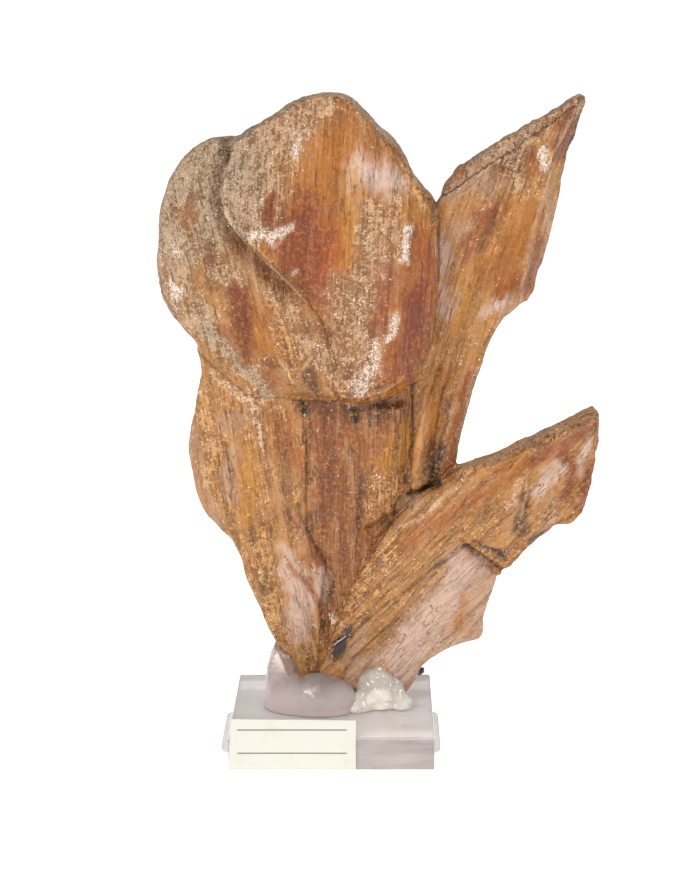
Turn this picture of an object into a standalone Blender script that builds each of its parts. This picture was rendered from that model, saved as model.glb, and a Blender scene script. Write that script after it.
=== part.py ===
"""A honey-brown selenite crystal group, set in clear glue on a clear block base.

The origin is on the resting surface, below the middle of the base block. X runs to the
right, Y away from the front and Z up. Outlines and depths are written in millimetres,
because the whole object is 163 mm tall, and MM turns them into metres once, where each
mesh is made.
"""

import math
from dataclasses import dataclass, field

import bmesh
import bpy
from mathutils import Vector

MM = 0.001

# Driving dimensions, in millimetres
BLOCK_WIDTH = 50.0
BLOCK_DEPTH = 50.0
BLOCK_THICKNESS = 8.1
BLOCK_EDGE = 0.4
FOOT_LEFT = -28.0
FOOT_RIGHT = 27.0
FOOT_FRONT = -9.5
FOOT_BACK = 20.0
FOOT_THICKNESS = 1.1
FOOT_CORNER = 3.0
CARD_WIDTH = 31.0
CARD_HEIGHT = 13.0
CARD_THICKNESS = 0.4
CARD_BOTTOM = 1.6
CARD_EDGE = 0.08
GAP = 0.3

FOOT_TOP = FOOT_THICKNESS
BLOCK_BOTTOM = FOOT_TOP + GAP
BLOCK_TOP = BLOCK_BOTTOM + BLOCK_THICKNESS
GLUE_BOTTOM = BLOCK_TOP + GAP

# How far the uncut prisms reach in front of and behind the group
REACH = 60.0
CORNER = True
CURVE_STEPS = 2
RIM_STEPS = 2
RIM_ANGLE = math.radians(34)
CORNER_STEPS = 4
EDGE_ANGLE = math.radians(60)
LUMP_STEPS = 3

# How near two points or a point and a cut are to count as one, in millimetres
CUT_TOLERANCE = 0.0001
SLIVER_LENGTH = 0.02
MERGE_DISTANCE = 0.01


@dataclass
class Blade:
    """One crystal: an outline seen from the front, cut by a front, a back and sloping faces.

    front and back are (depth at the origin, change per mm of X, change per mm of Z).
    A facet is (x1, z1, x2, z2, fall): its ridge lies on the face from the first point to
    the second, and the crystal falls away by that angle, in degrees, on the right of that
    line, or on its left where the angle is negative.
    """

    outline: list
    front: tuple
    back: tuple
    facets: list = field(default_factory=list)
    back_facets: list = field(default_factory=list)
    rim: float = 0.8


# The big rounded crystal at the top, which bulges forward over the stem
HEAD = Blade(
    outline=[
        (-22.0, 151.0, CORNER), (-20.5, 153.5), (-14.3, 157.0), (-9.0, 160.8),
        (-3.0, 162.8), (2.8, 162.8), (6.2, 160.4), (10.3, 156.0), (16.0, 150.0),
        (20.2, 142.7), (24.0, 138.2), (25.4, 132.0), (25.3, 118.0), (24.3, 106.0),
        (20.5, 95.5), (14.5, 90.8), (8.0, 89.0), (3.0, 90.0), (0.5, 94.0), (1.5, 100.0),
        (0.0, 106.0), (-3.5, 111.5), (-8.2, 116.6), (-12.6, 120.2), (-16.9, 124.3),
        (-21.0, 129.0), (-24.6, 135.0), (-25.6, 141.8), (-24.4, 147.5),
    ],
    front=(-12.5, -0.035, -0.06),
    back=(3.0, 0.04, 0.07),
    facets=[
        (-7.5, 148.0, 2.0, 166.0, -30.0),
        (-15.5, 127.0, -7.0, 149.0, -22.0),
        (4.0, 163.0, 16.5, 136.0, -30.0),
        (16.3, 138.0, 15.0, 88.0, -34.0),
        (16.0, 98.0, -12.0, 94.0, -40.0),
        (-14.0, 130.0, 4.0, 108.0, 20.0),
    ],
    back_facets=[
        (-8.0, 170.0, -14.0, 100.0, 30.0),
        (14.0, 90.0, 10.0, 165.0, 34.0),
        (30.0, 138.0, -30.0, 142.0, 32.0),
    ],
    rim=1.9,
)

# The grey rounded crystal behind it on the left
LOBE = Blade(
    outline=[
        (-16.0, 150.0), (-23.0, 152.1), (-27.5, 152.1), (-32.5, 149.5),
        (-38.7, 142.3), (-41.2, 133.0), (-41.7, 126.5), (-42.4, 121.5),
        (-40.9, 114.0), (-36.2, 107.0), (-31.4, 101.6), (-26.2, 96.4),
        (-20.5, 92.4), (-14.0, 90.6), (-7.0, 91.2), (0.0, 90.6), (6.0, 93.0), (8.0, 110.0),
        (4.0, 135.0), (-6.0, 146.0),
    ],
    front=(-14.8, -0.24, -0.008),
    back=(9.0, -0.02, 0.035),
    facets=[
        (-25.0, 97.0, -36.0, 112.0, -30.0),
        (-36.0, 110.0, -36.5, 138.0, -38.0),
        (-37.0, 132.0, -26.0, 146.0, -34.0),
        (-2.0, 95.0, -26.0, 98.5, -34.0),
    ],
    back_facets=[
        (-30.0, 150.0, -34.0, 95.0, 32.0),
        (-36.0, 108.0, -10.0, 90.0, 30.0),
        (-12.0, 138.0, -40.0, 136.0, 30.0),
    ],
    rim=2.0,
)

# The left column of the stem, down to its pointed foot
LEFT_COLUMN = Blade(
    outline=[
        (-30.5, 106.0), (-31.7, 96.0), (-33.1, 88.0), (-35.1, 78.0), (-34.7, 71.0),
        (-32.0, 61.7), (-28.7, 57.0), (-24.9, 52.5), (-22.5, 48.3), (-21.1, 42.5),
        (-17.3, 33.0), (-14.0, 25.0), (-12.2, 19.0), (-10.5, 14.0, CORNER),
        (-6.5, 13.0, CORNER), (-3.0, 22.0), (-2.6, 35.5), (-1.2, 46.2, CORNER),
        (-6.2, 57.0), (-6.5, 80.0), (-5.0, 104.0, CORNER),
    ],
    front=(-2.2, 0.03, -0.058),
    back=(4.5, 0.03, 0.085),
    facets=[
        (-25.0, 52.0, -27.5, 104.0, -26.0),
        (-27.0, 58.0, -30.5, 76.0, -38.0),
        (-19.5, 55.0, -2.6, 38.0, 9.0),
        (-12.5, 22.0, -22.5, 54.0, -28.0),
    ],
    back_facets=[
        (-24.0, 104.0, -20.0, 46.0, 35.0),
        (-18.0, 46.0, -6.0, 14.0, 26.0),
    ],
    rim=0.9,
)

# A thin golden plate grown on the left column
LEFT_PLATE = Blade(
    outline=[
        (-25.0, 100.0, CORNER), (-26.0, 84.0), (-24.5, 70.0), (-19.0, 57.0, CORNER),
        (-12.5, 61.0, CORNER), (-12.0, 80.0), (-12.0, 100.0, CORNER),
    ],
    front=(-3.1, 0.03, -0.058),
    back=(0.0, 0.0, 0.0),
    facets=[(-20.0, 56.0, -22.0, 98.0, -16.0)],
    rim=0.4,
)

# The middle column of the stem
MIDDLE_COLUMN = Blade(
    outline=[
        (-13.0, 100.0, CORNER), (-13.0, 62.0, CORNER), (-7.0, 48.0, CORNER),
        (-4.5, 36.0), (-3.0, 20.0, CORNER), (4.0, 18.0, CORNER), (12.0, 40.0),
        (17.5, 56.0), (19.2, 70.0), (19.4, 100.0, CORNER),
    ],
    front=(0.3, -0.03, -0.1),
    back=(5.5, -0.02, 0.075),
    facets=[
        (5.5, 108.0, 4.5, 30.0, -7.0),
        (-5.5, 30.0, -6.5, 104.0, -14.0),
    ],
    back_facets=[
        (12.0, 20.0, 10.0, 104.0, 20.0),
        (-3.0, 104.0, -2.0, 20.0, 18.0),
    ],
    rim=0.6,
)

# A thin plate on the middle column, with a step on its left
MIDDLE_PLATE = Blade(
    outline=[
        (6.0, 88.0, CORNER), (5.4, 66.0), (7.0, 56.5, CORNER), (14.0, 61.0, CORNER),
        (17.4, 70.0), (17.8, 88.0, CORNER),
    ],
    front=(-0.5, -0.03, -0.1),
    back=(2.0, 0.0, 0.0),
    facets=[(12.5, 92.0, 12.0, 56.0, -10.0)],
    rim=0.3,
)

# The tall crystal at the upper right and its stem, in one outline
RIGHT_BLADE = Blade(
    outline=[
        (16.0, 128.0, CORNER), (25.1, 134.8), (27.2, 140.2), (30.6, 144.8), (35.0, 147.2),
        (42.3, 152.6), (49.7, 157.0), (56.9, 160.9), (60.3, 162.0, CORNER),
        (61.2, 160.0, CORNER), (59.0, 151.2, CORNER), (57.5, 149.3, CORNER),
        (55.4, 139.6), (52.2, 126.2), (49.6, 114.6, CORNER), (48.2, 112.0, CORNER),
        (45.8, 111.6, CORNER), (44.2, 110.8, CORNER), (41.3, 108.6), (38.8, 104.0),
        (36.5, 97.0), (34.3, 90.5), (31.4, 79.2), (30.6, 73.5, CORNER),
        (29.0, 67.0, CORNER), (16.5, 62.5, CORNER), (15.5, 80.0), (15.0, 110.0),
    ],
    front=(-3.6, -0.01, -0.006),
    back=(7.5, -0.02, 0.02),
    facets=[
        (55.5, 164.0, 44.5, 112.0, -46.0),
        (44.5, 112.0, 27.0, 60.0, -40.0),
        (30.0, 139.0, 60.5, 157.5, -26.0),
    ],
    back_facets=[
        (46.0, 110.0, 58.0, 162.0, 42.0),
        (60.0, 150.0, 26.0, 130.0, 28.0),
        (26.0, 60.0, 40.0, 104.0, 38.0),
    ],
    rim=0.55,
)

# A thicker length of the same crystal, beside the head, with a step at its outer edge
RIGHT_STEP = Blade(
    outline=[
        (18.0, 120.0, CORNER), (25.0, 133.0), (30.0, 139.0), (36.0, 141.0, CORNER),
        (42.0, 131.0, CORNER), (40.0, 118.0), (33.0, 107.0, CORNER), (27.0, 92.0),
        (24.0, 82.0, CORNER), (19.0, 84.0, CORNER),
    ],
    front=(-4.6, -0.01, -0.006),
    back=(0.0, 0.0, 0.0),
    facets=[(40.0, 142.0, 26.0, 84.0, -14.0)],
    rim=0.35,
)

# A narrow prism on the right of the stem, set off by a groove
RIGHT_PRISM = Blade(
    outline=[
        (20.3, 104.0, CORNER), (20.0, 66.8, CORNER), (25.6, 70.6, CORNER),
        (26.6, 88.0), (28.6, 102.0, CORNER),
    ],
    front=(-4.6, -0.02, -0.02),
    back=(0.0, 0.0, 0.0),
    facets=[(23.6, 106.0, 22.6, 64.0, -28.0)],
    rim=0.35,
)

# The long crystal that runs from the foot up to the right
LOW_BLADE = Blade(
    outline=[
        (29.5, 71.3), (38.8, 74.2), (46.0, 77.9), (53.5, 82.0), (59.0, 85.0),
        (63.8, 87.2, CORNER), (65.0, 85.4, CORNER), (64.7, 77.4), (63.3, 70.5),
        (61.4, 62.0, CORNER), (58.6, 59.2, CORNER), (54.4, 58.8, CORNER),
        (50.0, 55.4), (46.2, 51.6), (44.0, 48.0), (41.0, 45.6, CORNER),
        (35.5, 51.4, CORNER), (31.5, 53.9, CORNER), (25.0, 47.5), (18.0, 37.0),
        (10.5, 27.6), (4.0, 20.8), (0.5, 15.5, CORNER), (-3.5, 18.5, CORNER),
        (-0.8, 32.0), (5.0, 43.0), (9.0, 52.0), (15.4, 59.5), (23.0, 66.0),
    ],
    front=(-1.8, -0.02, -0.13),
    back=(4.0, 0.0, -0.012),
    facets=[
        (64.5, 86.4, 31.0, 69.5, 57.0),
        (31.0, 69.8, 12.0, 53.5, 40.0),
        (64.0, 90.0, 60.8, 60.0, -22.0),
        (46.0, 51.0, 2.0, 17.0, -14.0),
    ],
    back_facets=[
        (28.0, 66.0, 64.0, 81.5, -40.0),
        (60.0, 62.0, 40.0, 48.0, -25.0),
    ],
    rim=0.5,
)

# The thicker inner length of the same crystal, which ends in a broken step
LOW_STEP = Blade(
    outline=[
        (7.0, 46.0, CORNER), (15.0, 57.0), (27.0, 66.4), (38.0, 71.8), (48.5, 76.8, CORNER),
        (47.9, 70.5), (46.0, 61.0, CORNER), (43.0, 52.6, CORNER), (35.5, 52.8, CORNER),
        (31.0, 55.4, CORNER), (22.0, 46.0), (10.0, 31.5), (2.0, 24.0, CORNER),
    ],
    front=(-2.9, -0.02, -0.13),
    back=(2.0, 0.0, 0.0),
    facets=[
        (48.5, 75.0, 26.0, 64.0, 44.0),
        (26.0, 64.2, 8.0, 45.0, 30.0),
        (49.2, 80.0, 43.6, 52.0, -20.0),
    ],
    rim=0.45,
)

# The pale cleaved crystal below it
PALE_BLADE = Blade(
    outline=[
        (41.0, 49.0, CORNER), (39.9, 43.0), (38.0, 37.0), (37.3, 32.5), (37.8, 30.3, CORNER),
        (36.8, 27.8, CORNER), (33.6, 27.4), (29.0, 25.6), (24.4, 22.7), (22.2, 20.4, CORNER),
        (20.4, 15.2), (18.2, 11.8, CORNER), (11.5, 10.8, CORNER), (4.0, 12.6, CORNER),
        (1.0, 18.0), (8.0, 34.0), (24.0, 52.0), (35.0, 56.0, CORNER),
    ],
    front=(-0.2, -0.02, -0.145),
    back=(5.0, 0.0, 0.0),
    facets=[
        (37.0, 44.0, 34.5, 24.0, -18.0),
        (34.0, 29.5, 18.5, 20.5, -26.0),
    ],
    back_facets=[
        (34.0, 24.0, 37.0, 44.0, 30.0),
        (6.0, 24.0, 34.0, 30.0, 16.0),
    ],
    rim=0.4,
)

# Columns that show only from behind
BACK_COLUMN = Blade(
    outline=[
        (-25.0, 98.0, CORNER), (-24.0, 62.0), (-16.0, 40.0, CORNER), (-9.0, 40.0, CORNER),
        (-4.0, 64.0), (-3.0, 112.0), (-8.0, 128.0, CORNER), (-17.0, 122.0, CORNER),
    ],
    front=(0.0, 0.0, 0.0),
    back=(8.0, 0.02, 0.085),
    back_facets=[
        (-13.0, 130.0, -13.0, 40.0, 22.0),
        (-15.0, 40.0, -14.0, 130.0, 16.0),
        (-2.0, 110.0, -22.0, 118.0, 38.0),
    ],
    rim=0.6,
)

BACK_PLATE = Blade(
    outline=[
        (2.0, 30.0, CORNER), (0.0, 60.0), (1.0, 100.0), (5.0, 136.0, CORNER),
        (14.0, 144.0, CORNER), (20.0, 128.0), (19.0, 90.0), (16.0, 60.0), (10.0, 34.0, CORNER),
    ],
    front=(0.0, 0.0, 0.0),
    back=(7.5, -0.03, 0.06),
    back_facets=[
        (15.0, 30.0, 14.0, 146.0, 28.0),
        (5.0, 146.0, 4.0, 30.0, 24.0),
        (8.0, 122.0, 24.0, 134.0, -38.0),
    ],
    rim=0.6,
)

CRYSTALS = [
    LOBE, HEAD, LEFT_COLUMN, LEFT_PLATE, MIDDLE_COLUMN, MIDDLE_PLATE, RIGHT_BLADE,
    RIGHT_STEP, RIGHT_PRISM, LOW_BLADE, LOW_STEP, PALE_BLADE, BACK_COLUMN, BACK_PLATE,
]
FOOT_CRYSTALS = [LEFT_COLUMN, MIDDLE_COLUMN, LOW_BLADE, LOW_STEP, PALE_BLADE]

# Round lumps that make up the two blobs of glue: centre and half sizes
MOUND_LUMPS = [
    ((-7.0, -1.5, 11.0), (10.6, 8.2, 7.0)),
    ((-13.2, 2.0, 17.5), (4.7, 5.6, 10.6)),
    ((-5.0, 5.5, 10.8), (9.0, 6.0, 6.2)),
]
DAB_LUMPS = [
    ((11.4, -0.8, 11.4), (7.6, 4.8, 5.6)),
    ((6.4, -2.6, 10.6), (4.0, 3.4, 4.2)),
    ((13.0, 3.4, 11.0), (5.6, 4.4, 4.6)),
]


def clear_scene():
    """Removes whatever the scene held."""
    for thing in list(bpy.data.objects):
        bpy.data.objects.remove(thing)


def material(name, colour, roughness, transmission=0.0):
    """A Principled material with the piece's own colour."""
    made = bpy.data.materials.new(name)
    made.use_nodes = True
    shader = made.node_tree.nodes["Principled BSDF"]
    shader.inputs["Base Color"].default_value = (*colour, 1.0)
    shader.inputs["Roughness"].default_value = roughness
    shader.inputs["Metallic"].default_value = 0.0
    shader.inputs["Transmission Weight"].default_value = transmission
    shader.inputs["IOR"].default_value = 1.5
    return made


def object_from(name, bm, finish=None):
    """Links the bmesh, which is in millimetres, as an object in metres."""
    bmesh.ops.recalc_face_normals(bm, faces=bm.faces)
    mesh = bpy.data.meshes.new(name)
    bmesh.ops.scale(bm, vec=(MM, MM, MM), verts=bm.verts)
    bm.to_mesh(mesh)
    bm.free()
    thing = bpy.data.objects.new(name, mesh)
    bpy.context.scene.collection.objects.link(thing)
    if finish is not None:
        mesh.materials.append(finish)
    return thing


def smooth_loop(points, steps=CURVE_STEPS):
    """A closed outline: curves through its plain points, and sharp at its corners."""
    places = [Vector(p[:2]) for p in points]
    corners = [len(p) > 2 for p in points]
    count = len(points)
    loop = []
    for i in range(count):
        here, there = places[i], places[(i + 1) % count]
        leaving = there - here if corners[i] else (there - places[i - 1]) / 2
        after = places[(i + 2) % count]
        arriving = there - here if corners[(i + 1) % count] else (after - here) / 2
        straight = corners[i] and corners[(i + 1) % count]
        for step in range(1 if straight else steps):
            t = step / steps
            loop.append(
                here * (2 * t**3 - 3 * t**2 + 1)
                + leaving * (t**3 - 2 * t**2 + t)
                + there * (3 * t**2 - 2 * t**3)
                + arriving * (t**3 - t**2)
            )
    return loop


def grown_loop(loop, grow):
    """The outline moved outwards by grow, along the normal at each of its points."""
    turning = sum(a.cross(b) for a, b in zip(loop, loop[1:] + loop[:1]))
    side = grow if turning < 0 else -grow
    moved = []
    for before, here, after in zip(loop[-1:] + loop[:-1], loop, loop[1:] + loop[:1]):
        along = (here - before).normalized() + (after - here).normalized()
        along = along.normalized() if along.length > 0.1 else (after - here).normalized()
        moved.append(here + Vector((-along.y, along.x)) * side)
    return moved


def face_depth(face, x, z):
    """Y of a crystal's front or back at a point of its outline."""
    return face[0] + face[1] * x + face[2] * z


def cut(bm, point, normal):
    """Removes what lies beyond a plane and closes the cut."""
    bmesh.ops.bisect_plane(
        bm,
        geom=bm.verts[:] + bm.edges[:] + bm.faces[:],
        plane_co=point,
        plane_no=normal,
        clear_outer=True,
        dist=CUT_TOLERANCE,
    )
    open_edges = [e for e in bm.edges if e.is_boundary]
    bmesh.ops.holes_fill(bm, edges=open_edges, sides=0)


def facet_plane(face, facet, outward, grow):
    """Point and normal of a sloping face that starts at a ridge on the front or back."""
    x1, z1, x2, z2, fall = facet
    start = Vector((x1, face_depth(face, x1, z1), z1))
    end = Vector((x2, face_depth(face, x2, z2), z2))
    along = (end - start).normalized()
    right = Vector((z2 - z1, 0.0, x1 - x2)).normalized()
    if fall < 0:
        right = -right
    angle = math.radians(abs(fall))
    slope = right * math.cos(angle) + Vector((0, -outward, 0)) * math.sin(angle)
    normal = along.cross(slope).normalized()
    if normal.y * outward < 0:
        normal = -normal
    return start + normal * grow, normal


def blade_mesh(blade, grow=0.0):
    """The crystal as a bmesh. grow moves every face outwards, for a clearance."""
    loop = smooth_loop(blade.outline)
    if grow:
        loop = grown_loop(loop, grow)
    bm = bmesh.new()
    near = [bm.verts.new((p.x, -REACH, p.y)) for p in loop]
    bottom = bm.faces.new(near)
    swept = bmesh.ops.extrude_face_region(bm, geom=[bottom])
    far = [v for v in swept["geom"] if isinstance(v, bmesh.types.BMVert)]
    bmesh.ops.translate(bm, verts=far, vec=(0, 2 * REACH, 0))
    bmesh.ops.recalc_face_normals(bm, faces=bm.faces)
    for face, outward, facets in (
        (blade.front, -1, blade.facets),
        (blade.back, 1, blade.back_facets),
    ):
        normal = Vector((-face[1], 1, -face[2])).normalized() * outward
        cut(bm, Vector((0, face[0], 0)) + normal * grow, normal)
        for facet in facets:
            cut(bm, *facet_plane(face, facet, outward, grow))
    bmesh.ops.dissolve_degenerate(bm, dist=SLIVER_LENGTH, edges=bm.edges)
    if blade.rim and not grow:
        rims = [
            e for e in bm.edges
            if len(e.link_faces) == 2 and e.is_convex and e.calc_face_angle() > RIM_ANGLE
        ]
        bmesh.ops.bevel(
            bm, geom=rims, offset=blade.rim, segments=RIM_STEPS, profile=0.5,
            affect="EDGES", clamp_overlap=True,
        )
    bmesh.ops.remove_doubles(bm, verts=bm.verts, dist=MERGE_DISTANCE)
    return bm


def evaluated_mesh(thing, name):
    """The object's mesh with its modifiers worked in."""
    graph = bpy.context.evaluated_depsgraph_get()
    mesh = bpy.data.meshes.new_from_object(thing.evaluated_get(graph))
    mesh.name = name
    return mesh


def combined(base, others, operation):
    """Base with the other objects joined to it or cut from it. The others are removed."""
    for other in others:
        step = base.modifiers.new(other.name, "BOOLEAN")
        step.operation = operation
        step.solver = "EXACT"
        step.object = other
    bpy.context.view_layer.update()
    mesh = evaluated_mesh(base, base.name)
    base.modifiers.clear()
    base.data = mesh
    for other in others:
        bpy.data.objects.remove(other)
    return base


def crystal_group(finish):
    """All crystals grown into one solid."""
    made = [object_from(f"crystal_{i}", blade_mesh(b)) for i, b in enumerate(CRYSTALS)]
    group = combined(made[0], made[1:], "UNION")
    group.name = "crystal_group"
    group.data.materials.clear()
    group.data.materials.append(finish)
    return group


def rounded_slab(name, low, high, corner, edge, finish):
    """A slab with rounded upright corners and lightly broken edges."""
    bm = bmesh.new()
    bmesh.ops.create_cube(bm, size=1.0)
    size = [h - l for l, h in zip(low, high)]
    middle = [(l + h) / 2 for l, h in zip(low, high)]
    bmesh.ops.scale(bm, vec=size, verts=bm.verts)
    bmesh.ops.translate(bm, vec=middle, verts=bm.verts)
    if corner:
        upright = [
            e for e in bm.edges if abs(e.verts[0].co.z - e.verts[1].co.z) > size[2] / 2
        ]
        bmesh.ops.bevel(
            bm, geom=upright, offset=corner, segments=CORNER_STEPS, profile=0.5,
            affect="EDGES",
        )
    sharp = [e for e in bm.edges if e.calc_face_angle() > EDGE_ANGLE]
    bmesh.ops.bevel(
        bm, geom=sharp, offset=edge, segments=RIM_STEPS, profile=0.5, affect="EDGES"
    )
    return object_from(name, bm, finish)


def lump_object(lump, grow=0.0):
    """One round lump of glue."""
    centre, radii = lump
    bm = bmesh.new()
    bmesh.ops.create_icosphere(bm, subdivisions=LUMP_STEPS, radius=1.0)
    bmesh.ops.scale(bm, vec=[r + grow for r in radii], verts=bm.verts)
    bmesh.ops.translate(bm, vec=centre, verts=bm.verts)
    return object_from("lump", bm)


def glue_blob(name, lumps, finish, neighbours=()):
    """Lumps joined, cut flat on the block, with a pocket for the crystals' feet."""
    made = [lump_object(lump) for lump in lumps]
    blob = combined(made[0], made[1:], "UNION")
    bm = bmesh.new()
    bm.from_mesh(blob.data)
    cut(bm, Vector((0, 0, GLUE_BOTTOM * MM)), Vector((0, 0, -1)))
    bm.to_mesh(blob.data)
    bm.free()
    clearance = [object_from("clearance", blade_mesh(b, GAP)) for b in FOOT_CRYSTALS]
    clearance += [lump_object(lump, GAP) for lump in neighbours]
    combined(blob, clearance, "DIFFERENCE")
    blob.name = name
    blob.data.name = name
    blob.data.materials.clear()
    blob.data.materials.append(finish)


def label_card(finish):
    """The small card on the front of the block, level with its left side."""
    front = -BLOCK_DEPTH / 2 - GAP / 2
    left = -BLOCK_WIDTH / 2
    rounded_slab(
        "label_card",
        (left, front - CARD_THICKNESS, CARD_BOTTOM),
        (left + CARD_WIDTH, front, CARD_BOTTOM + CARD_HEIGHT),
        0.0,
        CARD_EDGE,
        finish,
    )


def main():
    """Builds every piece of the mounted group."""
    clear_scene()
    selenite = material("selenite", (0.45, 0.22, 0.07), 0.35, 0.3)
    acrylic = material("acrylic", (0.9, 0.9, 0.91), 0.05, 0.9)
    milky_glue = material("milky_glue", (0.72, 0.68, 0.68), 0.2, 0.5)
    clear_glue = material("clear_glue", (0.88, 0.86, 0.8), 0.08, 0.8)
    card = material("card", (0.85, 0.82, 0.7), 0.6)
    crystal_group(selenite)
    glue_blob("glue_mound", MOUND_LUMPS, milky_glue)
    glue_blob("glue_dab", DAB_LUMPS, clear_glue, MOUND_LUMPS)
    label_card(card)
    half_width, half_depth = BLOCK_WIDTH / 2, BLOCK_DEPTH / 2
    rounded_slab(
        "base_block",
        (-half_width, -half_depth, BLOCK_BOTTOM),
        (half_width, half_depth, BLOCK_TOP),
        0.0,
        BLOCK_EDGE,
        acrylic,
    )
    rounded_slab(
        "foot_plate",
        (FOOT_LEFT, FOOT_FRONT, 0.0),
        (FOOT_RIGHT, FOOT_BACK, FOOT_TOP),
        FOOT_CORNER,
        BLOCK_EDGE / 2,
        acrylic,
    )


main()
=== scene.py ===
"""Looks of the mounted selenite group: worn and cleaved crystal faces, glue, clear block and card.

Lengths in the surface work are in millimetres, as in the crystal outlines, and are turned
into Blender's metres where a mesh is written. The front of the group faces -Y.
"""

import logging
import math
from collections.abc import Iterator
from contextlib import contextmanager
from dataclasses import dataclass
from enum import Enum
from typing import Any, Union

import bmesh
import bpy
import numpy as np
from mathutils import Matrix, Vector, noise


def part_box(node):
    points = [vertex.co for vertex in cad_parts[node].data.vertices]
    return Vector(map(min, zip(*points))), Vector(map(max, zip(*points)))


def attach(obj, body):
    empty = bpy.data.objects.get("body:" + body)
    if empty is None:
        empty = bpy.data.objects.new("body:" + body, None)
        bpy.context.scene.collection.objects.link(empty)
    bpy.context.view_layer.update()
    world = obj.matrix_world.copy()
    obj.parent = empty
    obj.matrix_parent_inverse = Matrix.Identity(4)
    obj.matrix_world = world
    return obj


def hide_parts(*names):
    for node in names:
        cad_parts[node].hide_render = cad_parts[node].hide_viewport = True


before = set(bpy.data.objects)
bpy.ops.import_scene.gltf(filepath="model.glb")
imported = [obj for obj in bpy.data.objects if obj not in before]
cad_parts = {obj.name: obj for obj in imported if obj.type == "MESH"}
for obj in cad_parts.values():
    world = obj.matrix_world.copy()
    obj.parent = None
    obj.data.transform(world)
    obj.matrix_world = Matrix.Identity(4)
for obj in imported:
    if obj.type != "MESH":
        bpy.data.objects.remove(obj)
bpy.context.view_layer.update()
BLOCK_LOW, BLOCK_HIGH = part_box("base_block")

log = logging.getLogger("selenite")

MM = 0.001
CRUST, CLEAR, SPARKLE = 3, 4, 5
PHOTO_WIDTH = 700
PHOTO_HEIGHT = 869
BODY = "root"
SEED = 7

Points = tuple[tuple[float, float], ...]
Triple = tuple[float, float, float]
Colour = Triple
Number = Union[int, float, "Value"]


def linear(red: int, green: int, blue: int) -> Colour:
    """Turns a screen colour into the linear one that Blender's sockets take.

    Args:
        red: Red, from 0 to 255.
        green: Green, from 0 to 255.
        blue: Blue, from 0 to 255.

    Returns:
        The linear colour.
    """
    parts = [c / 255 for c in (red, green, blue)]
    return tuple(c / 12.92 if c < 0.04 else ((c + 0.055) / 1.055) ** 2.4 for c in parts)


class Value:
    """A shader socket that can stand in a Python expression."""

    def __init__(self, tree: "ShaderTree", socket: bpy.types.NodeSocket) -> None:
        """Keeps the tree and the socket."""
        self.tree = tree
        self.socket = socket

    def _math(self, operation: str, *others: Number) -> "Value":
        """Adds one Math node that takes this value first."""
        return self.tree.math(operation, self, *others)

    def __add__(self, other: Number) -> "Value":
        """Sum."""
        return self._math("ADD", other)

    __radd__ = __add__

    def __mul__(self, other: Number) -> "Value":
        """Product."""
        return self._math("MULTIPLY", other)

    __rmul__ = __mul__

    def __sub__(self, other: Number) -> "Value":
        """Difference."""
        return self._math("SUBTRACT", other)

    def __rsub__(self, other: Number) -> "Value":
        """Difference the other way round."""
        return self.tree.math("SUBTRACT", other, self)

    def clamped(self) -> "Value":
        """The value kept between 0 and 1."""
        return self.tree.math("MINIMUM", self.tree.math("MAXIMUM", self, 0.0), 1.0)

    def stepped(self) -> "Value":
        """Flat steps of height 1 with short slopes between them."""
        whole = self._math("FLOOR")
        return whole + (self - whole).between(0.75, 1.0)

    def between(self, low: float, high: float) -> "Value":
        """0 below low and 1 above high, with a smooth rise from one to the other.

        Args:
            low: Where the rise starts.
            high: Where it ends. A high below low gives a fall.

        Returns:
            The eased value.
        """
        node = self.tree.node(
            "ShaderNodeMapRange",
            {"interpolation_type": "SMOOTHSTEP"},
            {"Value": self, "From Min": low, "From Max": high},
        )
        return Value(self.tree, node.outputs["Result"])


class NodeMaker:
    """Nodes made in code, in a material or a Geometry Nodes group."""

    def __init__(self, group: bpy.types.NodeTree) -> None:
        """Keeps the tree that takes the nodes."""
        self.group = group

    def node(
        self, kind: str, settings: dict[str, Any] | None = None, inputs: dict[Any, Any] | None = None
    ) -> bpy.types.Node:
        """Adds a node.

        Args:
            kind: Blender's node type.
            settings: The node's own settings, set before its sockets.
            inputs: Values or links, by the socket's name or number.

        Returns:
            The node.
        """
        made = self.group.nodes.new(kind)
        for key, setting in (settings or {}).items():
            setattr(made, key, setting)
        for key, given in (inputs or {}).items():
            socket = made.inputs[key]
            if isinstance(given, Value):
                self.group.links.new(given.socket, socket)
            elif isinstance(given, bpy.types.NodeSocket):
                self.group.links.new(given, socket)
            elif socket.type == "RGBA" and len(given) == 3:
                socket.default_value = (*given, 1.0)
            else:
                socket.default_value = given
        return made


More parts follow.
